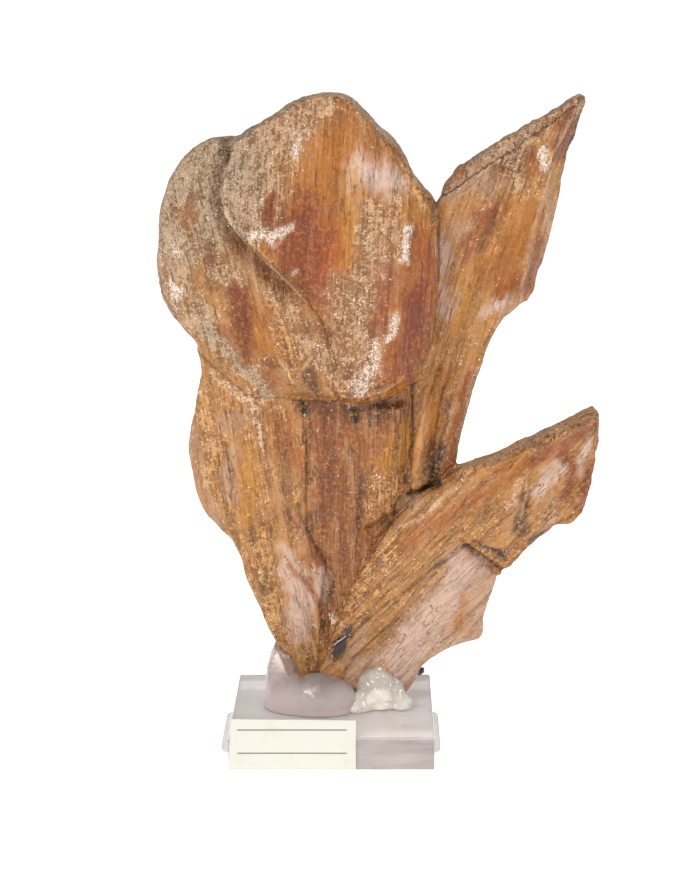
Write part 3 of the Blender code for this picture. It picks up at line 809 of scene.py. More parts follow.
STROKES = (
    # The head: crust on its left, amber in its middle, a striped crust down to its foot
    Stroke(Paint.GREY_CRUST, ((-20, 148), (-18, 140), (-17, 134)), 6.5),
    Stroke(Paint.TAN_CRUST, ((-16, 152), (-10.5, 156), (-2.5, 161.5)), 6.0),
    Stroke(Paint.BEIGE_CRUST, ((-11, 152), (-11.5, 143)), 4.5, 0.8),
    Stroke(Paint.AMBER, ((2, 155), (-0.5, 147), (-2, 139)), 5.5),
    Stroke(Paint.BROWN, ((5, 160), (9, 155)), 4.5, 0.8),
    Stroke(Paint.AMBER, ((3, 145), (1, 131)), 5.5),
    Stroke(Paint.DEEP, ((-5, 136), (-4.2, 126), (-3, 119)), 4.2),
    Stroke(Paint.DEEP, ((-13.5, 139.5), (-14.8, 135)), 1.5, 0.8),
    Stroke(Paint.DEEP, ((-10.5, 134), (-9.5, 124)), 3.0, 0.8),
    Stroke(Paint.ORANGE, ((0.8, 130), (1.5, 117)), 3.4),
    Stroke(Paint.GOLD, ((5.2, 142), (7.5, 137)), 3.4, 0.8),
    Stroke(Paint.GOLD, ((4.5, 137), (3.6, 121)), 1.7, 0.7),
    # Painted reflection: a soft pale patch on the head's upper right, lighter in its middle.
    Stroke(Paint.LAVENDER, ((7.5, 146), (14, 144)), 3.8, 0.8),
    Stroke(Paint.LAVENDER, ((8.5, 145.6), (13, 144.4)), 1.8, 0.9),
    Stroke(Paint.LAVENDER, ((15.6, 146), (18.4, 141)), 2.4, 0.6),
    Stroke(Paint.TAN_CRUST, ((15, 138), (13.6, 130), (11.7, 120)), 3.4, 0.75),
    Stroke(Paint.GREY_CRUST, ((9, 137), (7.5, 125), (6, 115)), 2.4, 0.7),
    Stroke(Paint.STRIPED_CRUST, ((5, 115), (3.5, 106), (6.5, 98)), 7.0),
    Stroke(Paint.STRIPED_CRUST, ((9, 118), (8, 108)), 4.0),
    Stroke(Paint.BROWN, ((-1.4, 112), (-2.2, 103)), 1.8, 0.6),
    Stroke(Paint.RED, ((14.5, 122), (13, 114), (10, 106)), 1.5),
    Stroke(Paint.GOLD, ((21, 140), (22, 129)), 3.6),
    Stroke(Paint.ORANGE, ((22, 127), (21, 115)), 3.8),
    Stroke(Paint.DEEP, ((20.2, 117), (19.3, 106), (17.6, 98)), 3.2),
    Stroke(Paint.ORANGE, ((13, 100), (14, 95)), 1.8, 0.7),
    Stroke(Paint.HONEY, ((6.5, 160.5), (13, 152.6), (20, 143)), 1.3, 0.8),
    Stroke(Paint.GOLD_CRUST, ((18, 146), (21.6, 139.5), (24.6, 133)), 1.5, 0.8),
    Stroke(Paint.BEIGE_CRUST, ((0, 162), (-2.5, 158), (-6.5, 150.5)), 1.1, 0.8),
    # The WHITE strokes are painted glints.
    Stroke(Paint.WHITE, ((-6.2, 153), (-8, 150)), 0.9, 0.7),
    Stroke(Paint.WHITE, ((-18, 131), (-14, 130), (-9.5, 131.5)), 1.2, 0.8),
    Stroke(Paint.WHITE, ((-14, 129), (-12.4, 128)), 0.8, 0.5),
    Stroke(Paint.WHITE, ((-7.6, 122.6), (-8.4, 121.6)), 0.5, 0.5),
    Stroke(Paint.WHITE, ((18.4, 132), (17, 125)), 0.9, 0.95),
    Stroke(Paint.WHITE, ((15, 111), (14, 106)), 1.1, 0.8),
    Stroke(Paint.WHITE, ((10.8, 105.5), (10, 99), (7, 94)), 1.4, 0.6),
    # The lobe: grey and grainy, with a red and an orange window low on the right
    Stroke(Paint.GREY_CRUST, ((-26, 150), (-33, 140), (-36, 130)), 8.5, 0.95),
    Stroke(Paint.TAN_CRUST, ((-38.6, 123), (-36, 114), (-31, 108)), 5.0),
    Stroke(Paint.GREY_CRUST, ((-25, 138), (-27, 128), (-23, 120)), 3.2, 0.7),
    Stroke(Paint.UMBER, ((-29.2, 126), (-27.4, 117)), 1.7, 0.6),
    Stroke(Paint.BROWN, ((-34, 135), (-33.4, 131)), 1.8, 0.55),
    # Painted shade in the groove under the head's lower lip.
    Stroke(Paint.UMBER, ((-24, 131), (-18, 123.5), (-10.5, 116.5)), 2.2, 0.65),
    Stroke(Paint.PINK, ((-24, 124), (-18, 117.5)), 1.8, 0.5),
    Stroke(Paint.DEEP, ((-22, 115), (-20.2, 103.5)), 2.6),
    Stroke(Paint.AMBER, ((-16.4, 111), (-16, 102)), 2.2),
    Stroke(Paint.TAN_CRUST, ((-12.5, 114), (-7.5, 107), (-4.5, 102)), 3.4, 0.6),
    Stroke(Paint.GOLD_CRUST, ((-12.5, 107), (-11, 101)), 2.2, 0.7),
    Stroke(Paint.GREY_CRUST, ((-30.5, 107), (-23, 100), (-16, 92)), 1.9, 0.9),
    Stroke(Paint.RED, ((-26, 106.4), (-20, 100)), 1.3, 0.75),
    Stroke(Paint.RED, ((-15, 97), (-14, 93)), 1.6, 0.6),
    Stroke(Paint.PEACH, ((-11.6, 96), (-12, 91.5)), 1.2, 0.8),
    Stroke(Paint.UMBER, ((-15, 98.5), (-11, 98.8)), 1.2, 0.7),
    Stroke(Paint.UMBER, ((-5.4, 97.5), (-4.5, 93.5)), 1.8, 0.9),
    Stroke(Paint.BEIGE_CRUST, ((-3, 99.5), (3, 97.5)), 1.8, 0.7),
    Stroke(Paint.WHITE, ((-37.8, 126), (-36.6, 125)), 0.8, 0.8),
    Stroke(Paint.WHITE, ((-38, 117), (-36.6, 115)), 1.1, 1.0),
    Stroke(Paint.PALE_LINE, ((-29, 121), (-24, 117.5)), 0.6, 0.6),
    # The upper right crystal
    Stroke(Paint.BROWN, ((34, 145), (44, 147)), 4.0, 0.9),
    Stroke(Paint.TAN_CRUST, ((36, 147.5), (47, 154.5), (59, 161.5)), 2.8, 0.85),
    Stroke(Paint.TAN_CRUST, ((43, 148), (45.5, 140)), 2.4, 0.7),
    Stroke(Paint.RED, ((58.4, 157), (55, 149.5)), 2.6, 0.95),
    Stroke(Paint.UMBER, ((59.0, 156), (57.4, 149)), 1.4, 0.85),
    Stroke(Paint.WHITE, ((50.3, 149), (51, 145)), 1.1, 0.85),
    Stroke(Paint.RED, ((47.7, 149), (48.3, 147.5)), 1.0, 0.95),
    Stroke(Paint.RED, ((47, 143.4), (48.6, 144)), 1.5, 0.7),
    Stroke(Paint.PINK, ((28.5, 139.5), (35.5, 143), (38.5, 140)), 3.0, 0.8),
    Stroke(Paint.PINK, ((26.5, 129), (32, 131)), 2.2, 0.8),
    Stroke(Paint.LAVENDER, ((26.8, 126), (26.6, 119)), 1.7, 0.8),
    Stroke(Paint.LAVENDER, ((27.4, 115), (27, 110)), 1.9, 0.85),
    Stroke(Paint.RED, ((38, 133), (33.5, 126.5)), 2.6, 0.75),
    Stroke(Paint.AMBER, ((46, 133), (43, 125.5), (36, 119)), 3.6),
    Stroke(Paint.ORANGE, ((43.5, 117.7), (41, 115.5)), 2.0),
    Stroke(Paint.GOLD, ((33, 118), (30.5, 108.5)), 2.8),
    Stroke(Paint.LAVENDER, ((42.5, 113.6), (37, 110)), 1.2),
    Stroke(Paint.PINK, ((46, 113.2), (40.5, 109)), 0.8, 0.9),
    Stroke(Paint.PINK, ((53.6, 141), (51.6, 131)), 1.1, 0.7),
    Stroke(Paint.RED, ((50, 128), (48, 116.5)), 1.8, 0.85),
    # The right of the stem
    Stroke(Paint.AMBER, ((26.5, 94), (24, 84), (22, 75)), 2.6, 0.8),
    Stroke(Paint.RED, ((33.4, 94), (30.6, 82), (28, 71)), 1.3, 0.9),
    Stroke(Paint.PINK, ((35.4, 96), (33, 84), (30.4, 74)), 0.7, 0.8),
    Stroke(Paint.UMBER, ((24.4, 79), (23.2, 69.5)), 1.1, 0.8),
    Stroke(Paint.GREY_BROWN, ((26.4, 76), (25.2, 70)), 1.3, 0.95),
    Stroke(Paint.UMBER, ((28.8, 88), (27.8, 82), (26.6, 77)), 0.9, 0.7),
    Stroke(Paint.PALE_LINE, ((29.5, 88), (28.8, 83), (27.6, 79)), 0.35, 0.7),
    Stroke(Paint.GOLD, ((17, 81), (14.5, 74)), 3.0, 1.0),
    Stroke(Paint.PINK, ((15.5, 61.4), (22.5, 65)), 1.7, 0.75),
    Stroke(Paint.UMBER, ((12.4, 57.6), (15.6, 58.6)), 1.3, 0.8),
    Stroke(Paint.GOLD_CRUST, ((10.5, 69.5), (15.4, 67), (12, 63)), 3.2, 0.7),
    # The lower right crystal
    Stroke(Paint.GOLD_CRUST, ((31.5, 73.0), (49, 81.4), (63, 88.4)), 2.2, 1.0),
    Stroke(Paint.DEEP, ((49, 74.5), (55, 78.6), (61.5, 83)), 1.6, 0.8),
    Stroke(Paint.LAVENDER, ((50.2, 66.5), (55, 74)), 1.6, 1.0),
    Stroke(Paint.LAVENDER, ((59.4, 72), (61.8, 79)), 1.1, 1.0),
    Stroke(Paint.RED, ((56.5, 77), (58, 73), (56.5, 65)), 1.2, 0.95),
    Stroke(Paint.RED, ((62.6, 73), (60.1, 63.5)), 1.9, 1.0),
    Stroke(Paint.PINK, ((49.5, 56), (54.5, 63)), 2.2, 0.7),
    Stroke(Paint.AMBER, ((38, 68.5), (46.5, 74)), 2.2),
    Stroke(Paint.PEACH, ((46.4, 69), (43.6, 58.5)), 1.4, 0.8),
    Stroke(Paint.UMBER, ((47.4, 66), (46.2, 61), (45.6, 57)), 1.2, 1.0),
    Stroke(Paint.PALE_LINE, ((45.2, 70), (43.8, 63.6)), 0.9, 0.8),
    Stroke(Paint.GREY_BROWN, ((36.5, 53.4), (42.2, 51.4)), 1.4, 0.6),
    Stroke(Paint.PEACH, ((37, 55), (43, 53)), 0.7, 0.7),
    Stroke(Paint.UMBER, ((36.5, 48.6), (39.6, 47.2)), 1.0, 0.7),
    Stroke(Paint.ORANGE, ((16.5, 53), (26, 59.8), (34, 65)), 2.2, 0.6),
    Stroke(Paint.HONEY, ((7.5, 38), (19, 46.8), (31, 54)), 3.0, 0.6),
    # The pale crystal at the foot
    Stroke(Paint.LAVENDER, ((32, 46.8), (26.6, 37.5), (17, 24)), 4.4, 0.8),
    Stroke(Paint.AMBER, ((33, 40), (31.6, 31)), 1.3, 0.7),
    Stroke(Paint.PINK, ((37, 43), (35.4, 31)), 2.4, 0.8),
    Stroke(Paint.HONEY, ((26, 45.4), (19, 36.6), (9.5, 25)), 1.9, 0.75),
    Stroke(Paint.LAVENDER, ((13, 22), (18, 19)), 2.2, 0.8),
    Stroke(Paint.HONEY, ((12.2, 21.4), (14.2, 18.6)), 0.7, 0.7),
    # The left of the stem
    Stroke(Paint.PINK, ((-34, 80), (-32, 68), (-28, 58)), 1.6, 0.6),
    Stroke(Paint.GOLD_CRUST, ((-30.5, 90), (-29, 79), (-28.4, 66)), 2.6, 0.7),
    Stroke(Paint.GOLD, ((-19.8, 77), (-20.3, 59)), 1.6, 0.9),
    Stroke(Paint.PINK, ((-24.5, 76.5), (-24.6, 65)), 1.8, 0.85),
    Stroke(Paint.PINK, ((-25, 84), (-21, 86)), 2.2, 0.6),
    Stroke(Paint.ORANGE, ((-11.3, 83), (-10.2, 74)), 3.2, 0.5),
    Stroke(Paint.PEACH, ((-12.6, 71), (-14, 61.5)), 2.4, 0.6),
    Stroke(Paint.PALE_LINE, ((-28, 95.6), (-22, 91), (-17, 88.3)), 1.0, 0.7),
    Stroke(Paint.PALE_LINE, ((-19.6, 90), (-17.8, 82), (-17, 78)), 0.8, 0.7),
    Stroke(Paint.GOLD_CRUST, ((-20.6, 55), (-16.7, 43.5), (-14.2, 27)), 2.0, 0.85),
    Stroke(Paint.RED, ((-10.8, 61), (-6.7, 55), (-3, 47)), 1.5, 0.75),
    Stroke(Paint.LAVENDER, ((-10.6, 48.5), (-8.4, 38), (-9.2, 27.5)), 3.0, 0.85),
    Stroke(Paint.LAVENDER, ((-3.4, 45.6), (-3.3, 38)), 1.3, 0.95),
    Stroke(Paint.ORANGE, ((-10.4, 47.2), (-7.2, 44), (-4.1, 38), (-3, 33.4)), 0.7, 0.75),
    Stroke(Paint.HONEY, ((-10.6, 23.4), (-5, 22.6)), 2.4, 0.85),
    # The middle of the stem
    Stroke(Paint.RED, ((-0.4, 82), (0.8, 64), (2, 51)), 4.2, 0.5),
    Stroke(Paint.PEACH, ((-4.8, 75.5), (-6.4, 62)), 0.8, 0.7),
    Stroke(Paint.UMBER, ((-5.2, 57.6), (-3.4, 62)), 1.1, 0.8),
    Stroke(Paint.UMBER, ((7.9, 71), (5.8, 56.5)), 0.9, 0.8),
    # Painted shadow: a dark band under the head's lower edge, which overhangs the stem here, with
    # dark dots beside it.
    Stroke(Paint.UMBER, ((-6, 88.5), (2, 87), (14, 87)), 3.0, 0.6),
    Stroke(Paint.BLACK, ((5.5, 88.2), (5.5, 85)), 1.3, 0.9),
    Stroke(Paint.UMBER, ((12.7, 89), (10.5, 85)), 1.6, 0.9),
    Stroke(Paint.BLACK, ((-6.4, 89), (-6.4, 86)), 1.0, 0.85),
    Stroke(Paint.BROWN, ((4.9, 46), (3, 35.5)), 2.4, 0.8),
    Stroke(Paint.GREY_BROWN, ((-0.4, 46), (-0.9, 37)), 0.9, 0.75),
    Stroke(Paint.GOLD_CRUST, ((17, 55), (9.8, 46.5), (4.6, 35)), 2.0, 0.6),
    Stroke(Paint.GREY_BROWN, ((3.8, 30.4), (1, 24.4)), 1.3, 1.0),
    Stroke(Paint.PINK, ((8, 32.5), (5.6, 25.4), (4.4, 21)), 1.6, 0.7),
    Stroke(Paint.WHITE, ((-0.8, 33.7), (0.4, 33.5)), 0.4, 1.0),
    # The back, which the photograph doesn't show
    Stroke(Paint.GREY_CRUST, ((-30, 144), (-34, 122)), 9.0, 0.9, True),
    Stroke(Paint.TAN_CRUST, ((-12, 152), (4, 146), (14, 132)), 9.0, 0.8, True),
    Stroke(Paint.AMBER, ((-6, 136), (-3, 112)), 5.0, 0.8, True),
    Stroke(Paint.STRIPED_CRUST, ((12, 122), (8, 100)), 6.0, 0.7, True),
    Stroke(Paint.GOLD, ((-24, 84), (-21, 62)), 5.0, 0.7, True),
    Stroke(Paint.RED, ((-2, 84), (0, 50)), 3.4, 0.6, True),
    Stroke(Paint.AMBER, ((16, 88), (13, 62)), 4.0, 0.7, True),
    Stroke(Paint.LAVENDER, ((-12, 46), (-9, 28)), 3.0, 0.7, True),
    Stroke(Paint.TAN_CRUST, ((36, 147), (58, 160)), 3.4, 0.7, True),
    Stroke(Paint.PINK, ((40, 138), (34, 112)), 4.6, 0.7, True),
    Stroke(Paint.AMBER, ((36, 66), (54, 76)), 3.6, 0.7, True),
    Stroke(Paint.LAVENDER, ((30, 44), (17, 26)), 4.6, 0.8, True),
)

# Grooves are painted dark and darkened further, painted shade in them; raised lips are painted paler.
CREASES = (
    Crease(Paint.UMBER, ((-25.4, 153), (-24.8, 148)), 1.3, 1.8, 0.6),
    Crease(Paint.UMBER, ((-6.2, 82), (-5.8, 71), (-6.6, 64)), 0.35, 0.5, 0.7),
    Crease(Paint.PALE_LINE, ((-17, 80), (-12.4, 66), (-7.4, 57.4)), 0.4, -0.4, 0.5),
    Crease(Paint.UMBER, ((7.6, 74), (6.8, 63), (5.2, 55)), 0.35, 0.4, 0.7),
    Crease(Paint.GREY_BROWN, ((0.6, 76), (0.2, 66), (-0.8, 54)), 0.3, 0.4, 0.6),
    Crease(Paint.PALE_LINE, ((22.8, 92), (21.8, 82), (21.2, 73)), 0.35, -0.4, 0.5),
    Crease(Paint.UMBER, ((27.6, 92), (25.8, 80), (24.6, 71)), 0.4, 0.5, 0.6),
    Crease(Paint.UMBER, ((-26, 78), (-24.2, 69), (-23.4, 62)), 0.4, 0.4, 0.5),
    Crease(Paint.BROWN, ((46.8, 79), (55, 80.4), (57.4, 73)), 0.4, 0.4, 0.6),
    Crease(Paint.UMBER, ((5.6, 22), (10.6, 28.6), (17, 34)), 0.5, 0.4, 0.6),
    Crease(Paint.PALE_LINE,
           ((-22.4, 151), (-24, 146), (-24.8, 140), (-23.9, 135), (-20.8, 131), (-16.8, 127.6),
            (-13.8, 124), (-9.6, 120), (-6.4, 116.8)), 0.75, -0.8, 0.75),
    Crease(Paint.UMBER,
           ((-24, 150.6), (-26.4, 145), (-27, 138), (-25.6, 132.6), (-22.4, 128.4),
            (-18.2, 124.8), (-15, 121.2), (-11, 117.4)), 1.5, 1.3, 0.6),
    Crease(Paint.UMBER, ((-8.3, 63), (-6.4, 57), (-3.5, 51.6), (-1.5, 48)), 0.6, 0.8, 0.85),
    Crease(Paint.UMBER, ((-1.5, 48), (-2.0, 40), (-2.6, 33), (-1.8, 27)), 0.7, 0.7, 0.7),
    Crease(Paint.UMBER, ((-12.8, 51), (-9.7, 47), (-5.5, 42), (-3.3, 36)), 0.3, 0.3, 0.8),
    Crease(Paint.UMBER, ((19.9, 94), (19.7, 79.5), (18.8, 72.5), (18.2, 68)), 0.55, 0.7, 0.75),
    Crease(Paint.BLACK, ((18.8, 65), (21.8, 66.3), (26.2, 68.9)), 0.6, 1.3, 0.95),
    Crease(Paint.BLACK, ((26.2, 97), (24.8, 91), (25.6, 88)), 0.4, 0.5, 0.6),
    Crease(Paint.UMBER,
           ((4.4, 28.6), (6.8, 32.4), (14.2, 38.6), (19.2, 41.4), (23.6, 45.7), (28.7, 49.6),
            (32.4, 52.8)), 0.5, 0.4, 0.75),
    Crease(Paint.BLACK, ((32.4, 52.8), (35.8, 50.8), (39.2, 48.7), (41.5, 47)), 0.8, 1.2, 0.95),
    Crease(Paint.GREY_BROWN, ((34.6, 54.6), (38.6, 52.6), (42.6, 50.2)), 0.5, 0.6, 0.8),
    Crease(Paint.BROWN, ((5, 33), (15, 42.5), (28, 51.5)), 0.35, 0.3, 0.8),
    Crease(Paint.UMBER, ((46.8, 70), (46, 64), (44.8, 57)), 0.45, 0.4, 0.7),
    Crease(Paint.PALE_LINE, ((47.6, 73.6), (47.4, 67), (45.8, 61)), 0.5, -0.3, 0.6),
    Crease(Paint.BROWN, ((52.5, 78), (55.8, 75), (54.6, 67), (52, 60)), 0.4, 0.35, 0.8),
    Crease(Paint.PALE_LINE,
           ((59.4, 161.5), (55.5, 153), (52.4, 148), (52, 143), (49, 133.6), (47.4, 126),
            (45.7, 116.7)), 0.5, -0.4, 0.6),
    Crease(Paint.BROWN, ((51.2, 136), (49.2, 126), (47.4, 117)), 0.35, 0.3, 0.7),
    Crease(Paint.BEIGE_CRUST,
           ((0.4, 162.4), (-2.5, 158), (-6.7, 150.6), (-10.3, 141), (-13, 133)), 0.6, -0.4, 0.5),
    Crease(Paint.PALE_LINE,
           ((-12, 99.6), (-10.7, 98.4), (-8.8, 94.4), (-7.3, 97.4), (-5, 100.2)), 0.5, -0.6, 0.9),
    Crease(Paint.PALE_LINE, ((3, 92), (8.5, 91.6), (13, 93), (17, 96.5)), 0.5, -0.5, 0.7),
    Crease(Paint.PALE_LINE,
           ((17.9, 58.5), (21.7, 61), (25.8, 65), (29.4, 68.1)), 0.7, -0.6, 0.9),
    Crease(Paint.UMBER, ((48, 54.8), (52, 57.6), (56, 60), (60.4, 62)), 0.5, 0.3, 0.8),
)


def random_field(
    places: np.ndarray, scales: Triple, layers: int = 3, shift: float = 0.0
) -> np.ndarray:
    """Soft random values, about -1 to 1, one for each place.

    Args:
        places: Places in millimetres, one row each.
        scales: Waves per millimetre along each axis.
        layers: How many layers of finer noise are added up.
        shift: Moves the pattern, so that two fields differ.

    Returns:
        The values.
    """
    moved = places * np.array(scales) + shift + SEED
    return np.array([noise.fractal(p, 1.0, 2.0, layers) for p in moved.tolist()])


def eased(values: np.ndarray, low: float, high: float) -> np.ndarray:
    """0 below low and 1 above high, with a smooth rise between them."""
    t = np.clip((values - low) / (high - low), 0.0, 1.0)
    return t * t * (3 - 2 * t)


def distance_to_line(flat: np.ndarray, points: Points) -> np.ndarray:
    """Distance from each flat place to a line of several points.

    Args:
        flat: X and Z of each place.
        points: The line's points.

    Returns:
        The distances.
    """
    nearest = np.full(len(flat), np.inf)
    for start, end in zip(points, points[1:]):
        a, b = np.array(start, float), np.array(end, float)
        along = np.clip((flat - a) @ (b - a) / np.dot(b - a, b - a), 0.0, 1.0)
        nearest = np.minimum(nearest, np.linalg.norm(flat - (a + along[:, None] * (b - a)), axis=1))
    return nearest


def depth_inside(flat: np.ndarray, outline: Points) -> np.ndarray:
    """How far inside an outline each flat place is, below 0 outside it.

    Args:
        flat: X and Z of each place.
        outline: The corners, in order.

    Returns:
        The signed distances.
    """
    inside = np.zeros(len(flat), bool)
    for (x1, z1), (x2, z2) in zip(outline, outline[1:] + outline[:1]):
        crosses = (z1 > flat[:, 1]) != (z2 > flat[:, 1])
        if z1 != z2:
            at = x1 + (flat[:, 1] - z1) * (x2 - x1) / (z2 - z1)
            inside ^= crosses & (flat[:, 0] < at)
    away = distance_to_line(flat, outline + outline[:1])
    return np.where(inside, away, -away)


class Surface:
    """A closed mesh as arrays of places in millimetres."""

    def __init__(self, mesh: bpy.types.Mesh) -> None:
        """Reads the places and the edges."""
        self.mesh = mesh
        flat = np.empty(len(mesh.vertices) * 3)
        mesh.vertices.foreach_get("co", flat)
        self.places = flat.reshape(-1, 3) / MM
        ends = np.empty(len(mesh.edges) * 2, int)
        mesh.edges.foreach_get("vertices", ends)
        self.edges = ends.reshape(-1, 2)

    def write(self) -> None:
        """Puts the places back into the mesh."""
        self.mesh.vertices.foreach_set("co", (self.places * MM).ravel())
        self.mesh.update()

    def normals(self) -> np.ndarray:
        """Outward directions at each place."""
        self.write()
        flat = np.empty(len(self.places) * 3)
        self.mesh.vertex_normals.foreach_get("vector", flat)
        return flat.reshape(-1, 3)

    def averaged(self, values: np.ndarray) -> np.ndarray:
        """The mean of the values at each place's neighbours."""
        count = len(self.places)
        first, second = self.edges.T
        shares = np.bincount(first, minlength=count) + np.bincount(second, minlength=count)
        summed = np.stack([
            np.bincount(first, column[second], count) + np.bincount(second, column[first], count)
            for column in values.T
        ], axis=1)
        return summed / shares[:, None]

    def smooth(self, rounds: np.ndarray) -> None:
        """Wears the surface smooth.

        Args:
            rounds: How many rounds each place takes part in.
        """
        for done in range(int(rounds.max())):
            share = np.clip(rounds - done, 0.0, 1.0)[:, None] * 0.5
            self.places += share * (self.averaged(self.places) - self.places)

    def shade_smooth(self) -> None:
        """Lets the light run smoothly over all faces."""
        self.mesh.polygons.foreach_set("use_smooth", np.ones(len(self.mesh.polygons), bool))

    def store(self, name: str, kind: str, values: np.ndarray) -> None:
        """Adds the values to the mesh as a named attribute.

        Args:
            name: The attribute's name.
            kind: Blender's type: FLOAT, FLOAT_VECTOR or FLOAT_COLOR.
            values: One row for each place.
        """
        field = {"FLOAT": "value", "FLOAT_VECTOR": "vector", "FLOAT_COLOR": "color"}[kind]
        if kind == "FLOAT_COLOR":
            values = np.column_stack([values, np.ones(len(values))])
        made = self.mesh.attributes.new(name, kind, "POINT")
        made.data.foreach_set(field, values.astype(np.float32).ravel())


@contextmanager
def edited(mesh: bpy.types.Mesh) -> Iterator[bmesh.types.BMesh]:
    """Opens a mesh for editing and writes it back afterwards."""
    bm = bmesh.new()
    bm.from_mesh(mesh)
    yield bm
    bm.to_mesh(mesh)
    bm.free()


def plain_object(name: str, mesh: bpy.types.Mesh, material: bpy.types.Material) -> bpy.types.Object:
    """An object at the origin that shows a mesh in one material.

    Args:
        name: The piece's name.
        mesh: Its mesh.
        material: Its material.

    Returns:
        The object.
    """
    mesh.name = name
    mesh.materials.clear()
    mesh.materials.append(material)
    made = bpy.data.objects.new(name, mesh)
    bpy.context.scene.collection.objects.link(made)
    return made


def frame_copy(node: str) -> bpy.types.Mesh:
    """A joined-up copy of a node's mesh, which the frame holds as loose triangles."""
    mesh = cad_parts[node].data.copy()
    with edited(mesh) as bm:
        bmesh.ops.remove_doubles(bm, verts=bm.verts, dist=0.002 * MM)
    return mesh


def modified(thing: bpy.types.Object) -> bpy.types.Mesh:
    """The mesh that an object's modifiers make of it. The object is removed."""
    bpy.context.view_layer.update()
    graph = bpy.context.evaluated_depsgraph_get()
    mesh = bpy.data.meshes.new_from_object(thing.evaluated_get(graph))
    bpy.data.objects.remove(thing)
    return mesh


def remeshed(mesh: bpy.types.Mesh, size: float) -> bpy.types.Mesh:
    """The same closed shape with even, fine faces.

    Args:
        mesh: The shape.
        size: The size of the new faces, in millimetres.

    Returns:
        The new mesh.
    """
    thing = bpy.data.objects.new("fine", mesh)
    bpy.context.scene.collection.objects.link(thing)
    step = thing.modifiers.new("fine", "REMESH")
    step.mode = "VOXEL"
    step.voxel_size = size * MM
    return modified(thing)


def finish_piece(thing: bpy.types.Object, node: str | None) -> None:
    """Attaches a piece to the body, hides the frame node that it stands for and logs its faces.

    Args:
        thing: The piece.
        node: The node that it stands for, if it stands for one.
    """
    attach(thing, BODY)
    if node:
        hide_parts(node)
    log.info("%s: %d faces", thing.name, len(thing.data.polygons))


